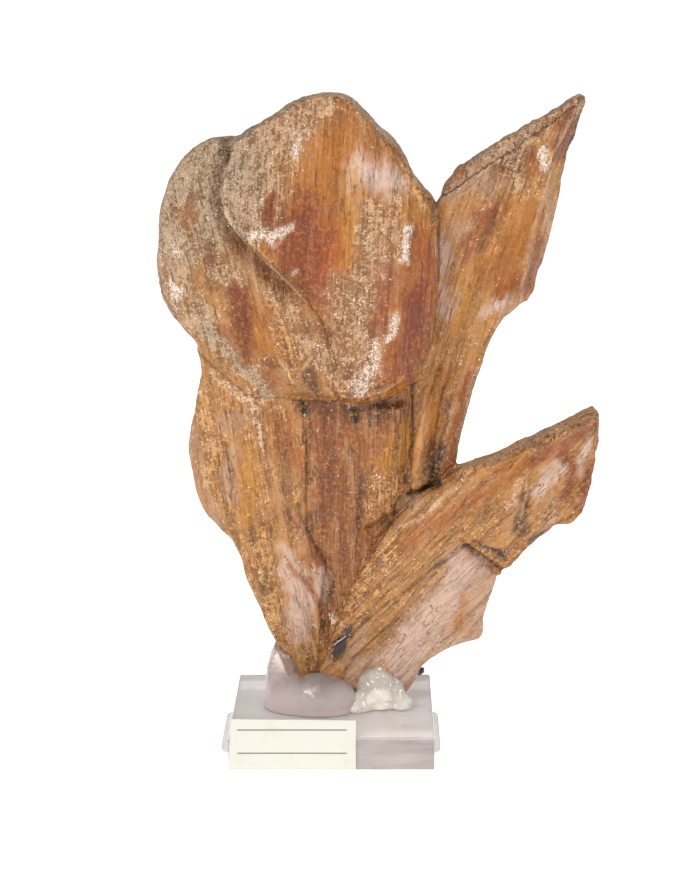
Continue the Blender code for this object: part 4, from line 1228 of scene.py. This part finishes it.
@dataclass
class CrystalGroup:
    """All crystals, with worn edges, ribs, cleavage steps, crust and painted zones.

    Sizes are in millimetres. The blends are how softly crystals, strokes and windows meet, and
    the frays how far noise and fibres push their borders about. A paint with less crust than
    window_crust makes a window. side_clarity, side_shade and side_crust are how clear, how
    darkened by painted shade and how crusted the faces are that look away from the front.
    """

    face_size: float = 0.63
    edge_blend: float = 0.7
    back_blend: float = 6.0
    swell: float = 0.5
    crust_height: float = 0.2
    broad_fray: float = 2.2
    fine_fray: float = 1.3
    fibre_fray: float = 2.6
    stroke_blend: float = 0.3
    window_blend: float = 0.65
    window_crust: float = 0.25
    crease_wobble: float = 0.35
    side_clarity: float = 0.12
    side_shade: float = 0.25
    side_crust: float = 0.66

    def build(self) -> bpy.types.Object:
        """Makes the crystals' fine surface from the frame's solid.

        Returns:
            The finished piece.
        """
        surface = Surface(remeshed(frame_copy("crystal_group"), self.face_size))
        shares = self.shares(surface.places)
        rounds = shares @ np.array([c.worn for c in CRYSTALS], float)
        surface.smooth(surface.averaged(rounds[:, None])[:, 0])
        front = eased(-surface.normals()[:, 1], -0.45, 0.1)
        grain = self.grain(surface.places, shares)
        tint, zones, sparkle = self.paint(surface, shares, grain, front)
        self.carve(surface, shares, grain[:, :3], zones, front)
        surface.write()
        surface.store("tint", "FLOAT_COLOR", tint)
        surface.store("zones", "FLOAT_COLOR", zones)
        surface.store("grain", "FLOAT_VECTOR", grain[:, :3])
        surface.store("sparkle", "FLOAT", sparkle)
        surface.store("fibre", "FLOAT", shares @ np.array([c.fibre for c in CRYSTALS]))
        surface.shade_smooth()
        made = plain_object("crystals", surface.mesh, SeleniteFinish().material())
        finish_piece(made, "crystal_group")
        return made

    def shares(self, places: np.ndarray) -> np.ndarray:
        """How much each place belongs to each crystal, with soft borders.

        Args:
            places: Places in millimetres.

        Returns:
            One row for each place and one column for each crystal.
        """
        flat = places[:, [0, 2]]
        left = np.ones(len(places))
        blend = self.edge_blend + self.back_blend * eased(places[:, 1], 0.0, 6.0)
        columns = []
        for crystal in CRYSTALS:
            inside = depth_inside(flat, crystal.outline) / blend
            here = left * eased(inside, -1.0, 1.0)
            columns.append(here)
            left = left - here
        columns[-1] += left
        return np.stack(columns, axis=1)

    def grain(self, places: np.ndarray, shares: np.ndarray) -> np.ndarray:
        """Each place in its own crystal's axes: across it, through it and along it.

        Args:
            places: Places in millimetres.
            shares: Each place's shares of the crystals.

        Returns:
            The places in those axes, and the crystal's number in a fourth column.
        """
        chosen = shares.argmax(axis=1)
        lean = np.radians(np.array([c.lean for c in CRYSTALS])[chosen])
        x, y, z = places.T
        across = x * np.cos(lean) - z * np.sin(lean)
        along = x * np.sin(lean) + z * np.cos(lean)
        return np.stack([across, y, along, chosen], axis=1)

    def frayed(self, places: np.ndarray, grain: np.ndarray) -> np.ndarray:
        """Front-view places, pushed about so that whatever is painted by them has ragged edges.

        Args:
            places: Places in millimetres.
            grain: The same places in the crystals' own axes.

        Returns:
            X and Z of each place, moved by up to a few millimetres, most of it along the grain.
        """
        lean = np.radians(np.array([c.lean for c in CRYSTALS])[grain[:, 3].astype(int)])
        fibres = random_field(grain[:, :3], (0.7, 0.3, 0.05), 3, 13.0) * self.fibre_fray
        broad = [random_field(places, (0.13, 0.1, 0.13), 3, s) * self.broad_fray for s in (3, 23)]
        fine = [random_field(places, (0.5, 0.3, 0.5), 2, s) * self.fine_fray for s in (31, 41)]
        return np.stack([
            places[:, 0] + broad[0] + fine[0] + np.sin(lean) * fibres,
            places[:, 2] + broad[1] + fine[1] + np.cos(lean) * fibres,
        ], axis=1)

    def paint(
        self, surface: Surface, shares: np.ndarray, grain: np.ndarray, front: np.ndarray
    ) -> tuple[np.ndarray, np.ndarray, np.ndarray]:
        """Lays the crystals' own colours and then the strokes and creases.

        Args:
            surface: The crystals' surface.
            shares: Each place's shares of the crystals.
            grain: Places in the crystals' own axes.
            front: 1 where the surface looks to the front, 0 where it looks away.

        Returns:
            The colour, the crust, clear and groove-shade values, and the share of white flakes
            painted as glints.
        """
        values = shares @ np.array([c.paint.row for c in CRYSTALS])
        flat = surface.places[:, [0, 2]]
        self.lay_strokes(values, flat, self.frayed(surface.places, grain) - flat, front)
        groove_shade = self.lay_creases(values, surface.places, front)
        values[:, CLEAR] *= self.side_clarity + (1 - self.side_clarity) * front
        side = eased(1 - np.abs(surface.normals()[:, 1]), 0.5, 0.95)
        # Painted shade: faces turned away from the front, top faces too, are darkened.
        values[:, :CRUST] *= 1 - self.side_shade * side[:, None]
        values[:, CRUST] = np.maximum(values[:, CRUST], self.side_crust * side)
        tint = np.clip(values[:, :CRUST], 0.0, 1.0)
        zones = np.stack([values[:, CRUST], values[:, CLEAR], groove_shade], axis=1)
        return tint, np.clip(zones, 0.0, 1.0), values[:, SPARKLE]

    def lay_strokes(
        self, values: np.ndarray, flat: np.ndarray, push: np.ndarray, front: np.ndarray
    ) -> None:
        """Lays the strokes over the values.

        Args:
            values: The paint at each place, changed here.
            flat: X and Z of each place.
            push: How far each place is pushed about to fray the strokes' edges.
            front: 1 where the surface looks to the front.
        """
        for stroke in STROKES:
            frayed = flat + push * min(1.0, 0.15 + stroke.reach / 3.2)
            away = distance_to_line(frayed, stroke.points)
            seen = 1 - front if stroke.back else front
            laid = stroke.paint.row
            soft = self.window_blend if laid[CRUST] < self.window_crust else self.stroke_blend
            blend = soft * stroke.reach + 0.25
            amount = stroke.strength * seen * eased(
                -away, -stroke.reach - blend, -stroke.reach + blend
            )
            values += amount[:, None] * (laid - values)

    def lay_creases(
        self, values: np.ndarray, places: np.ndarray, front: np.ndarray
    ) -> np.ndarray:
        """Lays the creases' colours over the values.

        Args:
            values: The paint at each place, changed here.
            places: Places in millimetres.
            front: 1 where the surface looks to the front.

        Returns:
            How much painted shade each place takes in the grooves, from 0 to 1.
        """
        groove_shade = np.zeros(len(values))
        flat = places[:, [0, 2]]
        wobble = random_field(places, (0.4, 0.2, 0.4), 3, 51.0) * self.crease_wobble
        for crease in CREASES:
            away = distance_to_line(flat, crease.points) + wobble
            amount = crease.strength * front * eased(-away, -crease.width * 1.3, 0.1 * crease.width)
            colour = np.array(crease.paint.colour)
            values[:, :CRUST] += amount[:, None] * (colour - values[:, :CRUST])
            values[:, CLEAR] *= 1 - amount
            # Painted shade in a groove, half as strong as its paint.
            if crease.depth > 0:
                groove_shade = np.maximum(groove_shade, amount * 0.5)
        return groove_shade

    def carve(
        self,
        surface: Surface,
        shares: np.ndarray,
        grain: np.ndarray,
        zones: np.ndarray,
        front: np.ndarray,
    ) -> None:
        """Raises and sinks the surface: swells, ribs, cleavage steps, crust and creases.

        Args:
            surface: The crystals' surface.
            shares: Each place's shares of the crystals.
            grain: Places in the crystals' own axes.
            zones: The crust, clear and groove-shade values.
            front: 1 where the surface looks to the front.
        """
        ribs = shares @ np.array([c.ribs for c in CRYSTALS])
        steps = shares @ np.array([c.steps for c in CRYSTALS])
        crust = zones[:, 0]
        rise = self.swell * random_field(surface.places, (0.07, 0.07, 0.07), 2, 1.0)
        rise += ribs * random_field(grain, (0.55, 0.35, 0.03), 3, 5.0)
        stairs = random_field(grain, (0.11, 0.11, 0.035), 2, 9.0) * 3.0
        level = np.floor(stairs)
        rise += steps * (level + eased(stairs - level, 0.7, 1.0)) * 0.8
        rise += self.crust_height * crust * random_field(surface.places, (0.6, 0.6, 0.6), 3, 2.0)
        rise -= np.abs(rise) * 0.25
        flat = surface.places[:, [0, 2]]
        for crease in CREASES:
            away = distance_to_line(flat, crease.points)
            rise -= front * crease.depth * np.exp(-((away / crease.width) ** 2))
        surface.places += surface.normals() * rise[:, None]
        low, high = (np.array(c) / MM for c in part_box("crystal_group"))
        surface.places = np.clip(surface.places, low, high)


@dataclass
class GlueBlob:
    """A blob of set glue, smooth and a little lumpy, which wets the crystals' feet.

    films are the round swellings where it has crept up the crystals: centre and half sizes.
    worn is how many rounds of smoothing it gets, lumps the height of its lumps and lump_scale
    their waves per millimetre. taper is how far its left side leans in with height.
    """

    node: str
    name: str
    slot: str
    finish: ClearFinish
    films: tuple[tuple[Triple, Triple], ...]
    face_size: float = 0.35
    worn: int = 10
    lumps: float = 0.25
    lump_scale: float = 0.22
    taper: float = 0.0

    def build(self) -> bpy.types.Object:
        """Makes the blob from the frame's solid and its films.

        Returns:
            The finished piece.
        """
        mesh = frame_copy(self.node)
        with edited(mesh) as bm:
            for centre, halves in self.films:
                made = bmesh.ops.create_icosphere(bm, subdivisions=3, radius=1.0)["verts"]
                bmesh.ops.scale(bm, vec=Vector(halves) * MM, verts=made)
                bmesh.ops.translate(bm, vec=Vector(centre) * MM, verts=made)
        surface = Surface(remeshed(mesh, self.face_size))
        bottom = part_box(self.node)[0][2] / MM
        free = eased(surface.places[:, 2], bottom + 0.3, bottom + 1.2)
        surface.smooth(free * self.worn)
        scales = (self.lump_scale, self.lump_scale, self.lump_scale)
        rise = self.lumps * random_field(surface.places, scales, 3, 4.0)
        surface.places += surface.normals() * ((rise - self.lumps * 0.5) * free)[:, None]
        surface.places[:, 2] = np.maximum(surface.places[:, 2], bottom)
        high = surface.places[:, 2] - bottom
        surface.places[:, 0] += self.taper * high * eased(-surface.places[:, 0], 4.0, 12.0)
        surface.write()
        surface.shade_smooth()
        made = plain_object(self.name, surface.mesh, self.finish.material())
        finish_piece(made, self.node)
        return made


@dataclass
class Chip:
    """A small broken bit stuck to the group: a dark flake of rock or a pale splinter.

    seat is its middle, halves its half sizes and lean how far it leans to the right. taper is
    how much narrower it is at its foot than in its middle.
    """

    name: str
    finish: GrainFinish
    seat: Triple
    halves: Triple
    lean: float
    rough: float = 0.3
    taper: float = 0.0

    def build(self) -> bpy.types.Object:
        """Makes the chip as a facetted, uneven lump.

        Returns:
            The finished piece.
        """
        mesh = bpy.data.meshes.new(self.name)
        with edited(mesh) as bm:
            bmesh.ops.create_icosphere(bm, subdivisions=3, radius=1.0)
            for vert in bm.verts:
                vert.co = self.placed(vert.co)
            bmesh.ops.recalc_face_normals(bm, faces=bm.faces)
        made = plain_object(self.name, mesh, self.finish.material())
        finish_piece(made, None)
        return made

    def placed(self, unit: Vector) -> Vector:
        """A point of a ball of radius 1, moved to where the chip has it.

        Args:
            unit: The point on the ball.

        Returns:
            The point on the chip, in metres.
        """
        cell = noise.voronoi(unit * 0.9 + Vector(self.seat))[0][0]
        uneven = unit * (1 - self.rough * cell)
        x, y, z = (c * h for c, h in zip(uneven, self.halves))
        x *= 1 + self.taper * uneven.z
        lean = math.radians(self.lean)
        turned = (
            x * math.cos(lean) + z * math.sin(lean),
            y,
            z * math.cos(lean) - x * math.sin(lean),
        )
        return (Vector(turned) + Vector(self.seat)) * MM


@dataclass
class ClearPlate:
    """The base block or the plate under it, joined up from the frame's triangles."""

    node: str
    name: str
    finish: ClearFinish

    def build(self) -> bpy.types.Object:
        """Makes the plate from the frame's solid.

        Returns:
            The finished piece.
        """
        mesh = frame_copy(self.node)
        with edited(mesh) as bm:
            flats = [e for e in bm.edges if e.calc_face_angle(0.0) < math.radians(1)]
            bmesh.ops.dissolve_edges(bm, edges=flats, use_verts=True)
        made = plain_object(self.name, mesh, self.finish.material())
        finish_piece(made, self.node)
        return made


@dataclass
class LabelCard:
    """The cream card, bare but for two ruled lines, with edges cut by hand.

    Sizes are in millimetres. cell is the size of its faces, wander how uneven its edges are,
    slant and tilt how far its left and upper edges lean, and curl how far it bends.
    """

    node: str = "label_card"
    cell: float = 0.5
    wander: float = 0.16
    slant: float = 0.7
    tilt: float = 0.35
    curl: float = 0.1

    def build(self) -> bpy.types.Object:
        """Makes the card as a fine grid of its own, the frame's solid being a plain slab.

        Returns:
            The finished piece.
        """
        low, high = (np.array(c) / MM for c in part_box(self.node))
        mesh = bpy.data.meshes.new("card")
        with edited(mesh) as bm:
            front, back = (self.sheet(bm, side, low, high) for side in (0, 1))
            for row, above, hind_row, hind_above in zip(front, front[1:], back, back[1:]):
                for i in range(len(row) - 1):
                    bm.faces.new((row[i], row[i + 1], above[i + 1], above[i]))
                    bm.faces.new((hind_row[i], hind_above[i], hind_above[i + 1], hind_row[i + 1]))
            outer, inner = self.rim(front), self.rim(back)
            for i, vert in enumerate(outer):
                after = (i + 1) % len(outer)
                bm.faces.new((vert, inner[i], inner[after], outer[after]))
            bmesh.ops.recalc_face_normals(bm, faces=bm.faces)
        finish = CardFinish().material(low[0], high[0], low[2])
        made = plain_object("card", mesh, finish)
        finish_piece(made, self.node)
        return made

    def sheet(
        self, bm: bmesh.types.BMesh, side: int, low: np.ndarray, high: np.ndarray
    ) -> list[list[bmesh.types.BMVert]]:
        """The points of the card's front or back.

        Args:
            bm: The mesh that takes them.
            side: 0 for the front, 1 for the back.
            low: The lowest corner of the card's room.
            high: The highest corner.

        Returns:
            The points, row by row from the bottom, each row from left to right.
        """
        columns = int((high[0] - low[0]) / self.cell)
        rows = int((high[2] - low[2]) / self.cell)
        return [
            [
                bm.verts.new(Vector(self.place(i / columns, j / rows, side, low, high)) * MM)
                for i in range(columns + 1)
            ]
            for j in range(rows + 1)
        ]

    @staticmethod
    def rim(grid: list[list[Any]]) -> list[Any]:
        """The outer points of a grid, once round from the lower left."""
        ring = grid[0][:-1] + [row[-1] for row in grid[:-1]]
        return ring + grid[-1][:0:-1] + [row[0] for row in grid[:0:-1]]

    def place(
        self, u: float, v: float, side: int, low: np.ndarray, high: np.ndarray
    ) -> tuple[float, float, float]:
        """One point of the card.

        Args:
            u: From 0 at its left edge to 1 at its right.
            v: From 0 at its lower edge to 1 at its upper.
            side: 0 for the front, 1 for the back.
            low: The lowest corner of its room.
            high: The highest corner.

        Returns:
            The point, in millimetres.
        """
        x = low[0] + u * (high[0] - low[0])
        z = low[2] + v * (high[2] - low[2])
        ragged_x = self.wander * (0.5 + 0.5 * noise.noise((z * 0.35, 5.0 + round(u), SEED)))
        ragged_z = self.wander * (0.5 + 0.5 * noise.noise((x * 0.2, 9.0 + round(v), SEED)))
        x += ragged_x * ((u < 0.01) - (u > 0.99)) + self.slant * v * (1 - u)
        z += ragged_z * ((v < 0.01) - (v > 0.99)) - self.tilt * u * v
        bend = self.curl * (u * (1 - u) * 4 - v * 0.3) ** 2
        thick = (high[1] - low[1]) - self.curl
        y = low[1] + bend + side * thick
        return x, min(y, high[1]), z


@dataclass
class GlintFlakes:
    """Small white flakes, painted glints, scattered where the crystals are painted to sparkle.

    radius is in millimetres, and the scales stretch each flake at random along its own axes.
    """

    crystals: bpy.types.Object
    per_square_mm: float = 4.0
    radius: float = 0.13
    least_scale: Triple = (0.4, 0.4, 0.25)
    most_scale: Triple = (1.8, 1.3, 0.7)

    def scatter(self, material: bpy.types.Material) -> bpy.types.NodeTree:
        """Builds the scatter as a node tree.

        Args:
            material: The flakes' material.

        Returns:
            The tree, with inputs Surface, Density and Radius.
        """
        group = bpy.data.node_groups.new("flake_scatter", "GeometryNodeTree")
        face = group.interface
        face.new_socket("Geometry", in_out="OUTPUT", socket_type="NodeSocketGeometry")
        face.new_socket("Surface", in_out="INPUT", socket_type="NodeSocketObject")
        face.new_socket("Density", in_out="INPUT", socket_type="NodeSocketFloat")
        face.new_socket("Radius", in_out="INPUT", socket_type="NodeSocketFloat")
        add = NodeMaker(group).node
        given = add("NodeGroupInput").outputs
        info = add("GeometryNodeObjectInfo", None, {"Object": given["Surface"]})
        named = {"Name": "sparkle"}
        painted = add("GeometryNodeInputNamedAttribute", {"data_type": "FLOAT"}, named)
        factors = {0: painted.outputs["Attribute"], 1: given["Density"]}
        share = add("ShaderNodeMath", {"operation": "MULTIPLY"}, factors)
        spread = add("GeometryNodeDistributePointsOnFaces", None, {
            "Mesh": info.outputs["Geometry"], "Density": share.outputs[0], "Seed": SEED,
        })
        flake = add("GeometryNodeMeshIcoSphere", None, {
            "Radius": given["Radius"], "Subdivisions": 1,
        })
        size = add("FunctionNodeRandomValue", {"data_type": "FLOAT_VECTOR"}, {
            "Seed": SEED, "Min": self.least_scale, "Max": self.most_scale,
        })
        placed = add("GeometryNodeInstanceOnPoints", None, {
            "Points": spread.outputs["Points"],
            "Instance": flake.outputs["Mesh"],
            "Rotation": spread.outputs["Rotation"],
            "Scale": size.outputs["Value"],
        })
        real = add("GeometryNodeRealizeInstances", None, {"Geometry": placed.outputs["Instances"]})
        dressed = add("GeometryNodeSetMaterial", None, {
            "Geometry": real.outputs["Geometry"], "Material": material,
        })
        add("NodeGroupOutput", None, {0: dressed.outputs["Geometry"]})
        return group

    def build(self) -> bpy.types.Object:
        """Scatters the flakes and turns them into one plain mesh.

        Returns:
            The finished piece.
        """
        # Painted glints: near-white flakes.
        material = GrainFinish("flake_finish", linear(246, 230, 208), 0.3).material()
        group = self.scatter(material)
        holder = bpy.data.objects.new("scatter", bpy.data.meshes.new("scatter"))
        bpy.context.scene.collection.objects.link(holder)
        step = holder.modifiers.new("scatter", "NODES")
        step.node_group = group
        given = {
            "Surface": self.crystals,
            "Density": self.per_square_mm / (MM * MM),
            "Radius": self.radius * MM,
        }
        for item in group.interface.items_tree:
            if item.name in given:
                step[item.identifier] = given[item.name]
        mesh = modified(holder)
        made = plain_object("bright_flakes", mesh, material)
        finish_piece(made, None)
        return made


@dataclass
class Studio:
    """Plain pale floor, soft lights, and the camera where the photographer stood.

    focal_px is the focal length and axis_u the column of the optical axis, in pixels of the
    picture. camera_place and sensor are in millimetres, pitch in degrees, floor_size in metres.
    """

    focal_px: float = 2250.0
    axis_u: float = 374.0
    camera_place: Triple = (10.3, -541.4, 193.6)
    pitch: float = 11.93
    sensor: float = 36.0
    floor_size: float = 60.0
    floor_glow: float = 0.7
    room_light: float = 0.42

    def build(self) -> None:
        """Makes the floor, the lights, the surroundings and the camera."""
        self.floor()
        self.soft_box("key", (-0.4, -0.6, 0.7), 0.35, 3.2)
        self.soft_box("spark", (-0.5, -0.9, 0.8), 0.04, 3.6)
        self.soft_box("fill", (0.65, -0.5, 0.4), 0.25, 1.3)
        self.soft_box("behind", (0.25, 0.6, 0.5), 0.5, 1.0)
        self.surroundings()
        self.camera()

    def floor(self) -> None:
        """A large pale floor under the object."""
        mesh = bpy.data.meshes.new("floor")
        with edited(mesh) as bm:
            bmesh.ops.create_grid(bm, x_segments=1, y_segments=1, size=self.floor_size)
        tree = ShaderTree("floor_finish")
        shown = tree.surface(
            Base_Color=(0.9, 0.9, 0.9),
            Roughness=0.9,
            Emission_Color=(1.0, 1.0, 1.0),
            Emission_Strength=self.floor_glow,
        )
        floor = plain_object("floor", mesh, tree.finish(shown))
        floor.location.z = -0.0001

    def soft_box(self, name: str, place: Triple, size: float, power: float) -> None:
        """A square light turned towards the crystals.

        Args:
            name: The light's name.
            place: Where it stands, in metres.
            size: Its side, in metres.
            power: Its power, in watts.
        """
        light = bpy.data.lights.new(name, "AREA")
        light.size = size
        light.energy = power
        thing = bpy.data.objects.new(name, light)
        thing.location = place
        towards = Vector((0.01, 0.0, 0.09)) - Vector(place)
        thing.rotation_euler = towards.to_track_quat("-Z", "Y").to_euler()
        bpy.context.scene.collection.objects.link(thing)

    def surroundings(self) -> None:
        """Even white light from all round."""
        world = bpy.data.worlds.new("studio")
        world.use_nodes = True
        shown = world.node_tree.nodes["Background"]
        shown.inputs["Color"].default_value = (1.0, 1.0, 1.0, 1.0)
        shown.inputs["Strength"].default_value = self.room_light
        bpy.context.scene.world = world
        bpy.context.scene.view_settings.view_transform = "Standard"

    def camera(self) -> None:
        """The photograph's camera."""
        data = bpy.data.cameras.new("camera")
        data.sensor_width = self.sensor
        data.lens = self.sensor * self.focal_px / PHOTO_HEIGHT
        data.shift_x = (PHOTO_WIDTH / 2 - self.axis_u) / PHOTO_HEIGHT
        data.clip_start = 0.01
        thing = bpy.data.objects.new("camera", data)
        thing.location = [c * MM for c in self.camera_place]
        thing.rotation_euler = (math.radians(90 - self.pitch), 0.0, 0.0)
        bpy.context.scene.collection.objects.link(thing)
        bpy.context.scene.camera = thing


ACRYLIC = ClearFinish(
    name="acrylic_finish",
    colour=linear(255, 250, 247),
    clarity=0.6,
    roughness=0.14,
    depth_colour=(0.88, 0.74, 0.71),
    depth_density=2.0,
    wave=0.08,
    wave_depth=0.3,
    cut_face=BLOCK_LOW[1] / MM,
    rim=BLOCK_HIGH[2] / MM,
)
MILKY_GLUE = ClearFinish(
    name="milky_glue_finish",
    colour=linear(244, 230, 224),
    clarity=0.95,
    roughness=0.14,
    depth_colour=(0.92, 0.82, 0.78),
    depth_density=3.0,
    wave=0.12,
    wave_depth=0.2,
    refraction=1.3,
    milk=linear(204, 188, 184),
    milk_heights=(13.0, 20.0),
)
CLEAR_GLUE = ClearFinish(
    name="clear_glue_finish",
    colour=linear(255, 248, 246),
    clarity=0.95,
    roughness=0.1,
    depth_colour=(0.98, 0.9, 0.88),
    depth_density=1.0,
    wave=0.7,
    wave_depth=1.0,
    refraction=1.5,
    milk=linear(255, 247, 236),
    milk_heights=(9.6, 16.0),
    milk_shares=(0.42, 0.72),
    glint_spots=0.95,
    heart=(11.6, 12.6, 5.0),
)
ROCK = GrainFinish("rock_finish", linear(54, 36, 30), 0.35)
SPLINTER = GrainFinish("splinter_finish", linear(222, 204, 190), 0.25)
MOUND_FILMS = (
    ((-3.4, -4.2, 11.6), (10.0, 6.4, 8.0)),
    ((-11.4, 2.0, 16.0), (3.8, 3.8, 9.6)),
)
DAB_FILMS = (
    ((11.0, -3.2, 15.4), (5.2, 4.0, 5.2)),
    ((15.0, -2.4, 13.6), (3.2, 3.4, 4.4)),
    ((7.6, -4.4, 12.0), (3.0, 3.0, 3.2)),
    ((17.4, -3.6, 11.4), (2.8, 2.6, 2.4)),
    ((5.6, -5.6, 10.8), (2.6, 2.4, 1.8)),
)


def main() -> None:
    """Builds every piece and the studio."""
    logging.basicConfig(level=logging.INFO, format="%(name)s: %(message)s")
    crystals = CrystalGroup().build()
    # Painted glints scattered over the crystals.
    GlintFlakes(crystals).build()
    GlueBlob("glue_mound", "mound", "milky_glue", MILKY_GLUE, MOUND_FILMS, worn=45, taper=0.1).build()
    GlueBlob(
        "glue_dab", "dab", "clear_glue", CLEAR_GLUE, DAB_FILMS, lumps=0.4, lump_scale=0.3, worn=18
    ).build()
    # The fork chip's dark is partly its own colour and partly painted shade, of a facet turned from
    # the light.
    Chip(
        "fork_chip", ROCK, (1.6, -6.4, 26.4), (1.7, 1.2, 3.8), lean=27, rough=0.6, taper=0.55
    ).build()
    Chip("edge_chip", ROCK, (22.0, -1.2, 18.8), (1.0, 0.9, 1.4), lean=30, rough=0.45).build()
    Chip("splinter", SPLINTER, (1.7, -7.5, 28.6), (0.12, 0.12, 2.6), lean=54).build()
    ClearPlate("base_block", "block", ACRYLIC).build()
    ClearPlate("foot_plate", "plate", ACRYLIC).build()
    LabelCard().build()
    Studio().build()


if __name__ == "__main__":
    main()
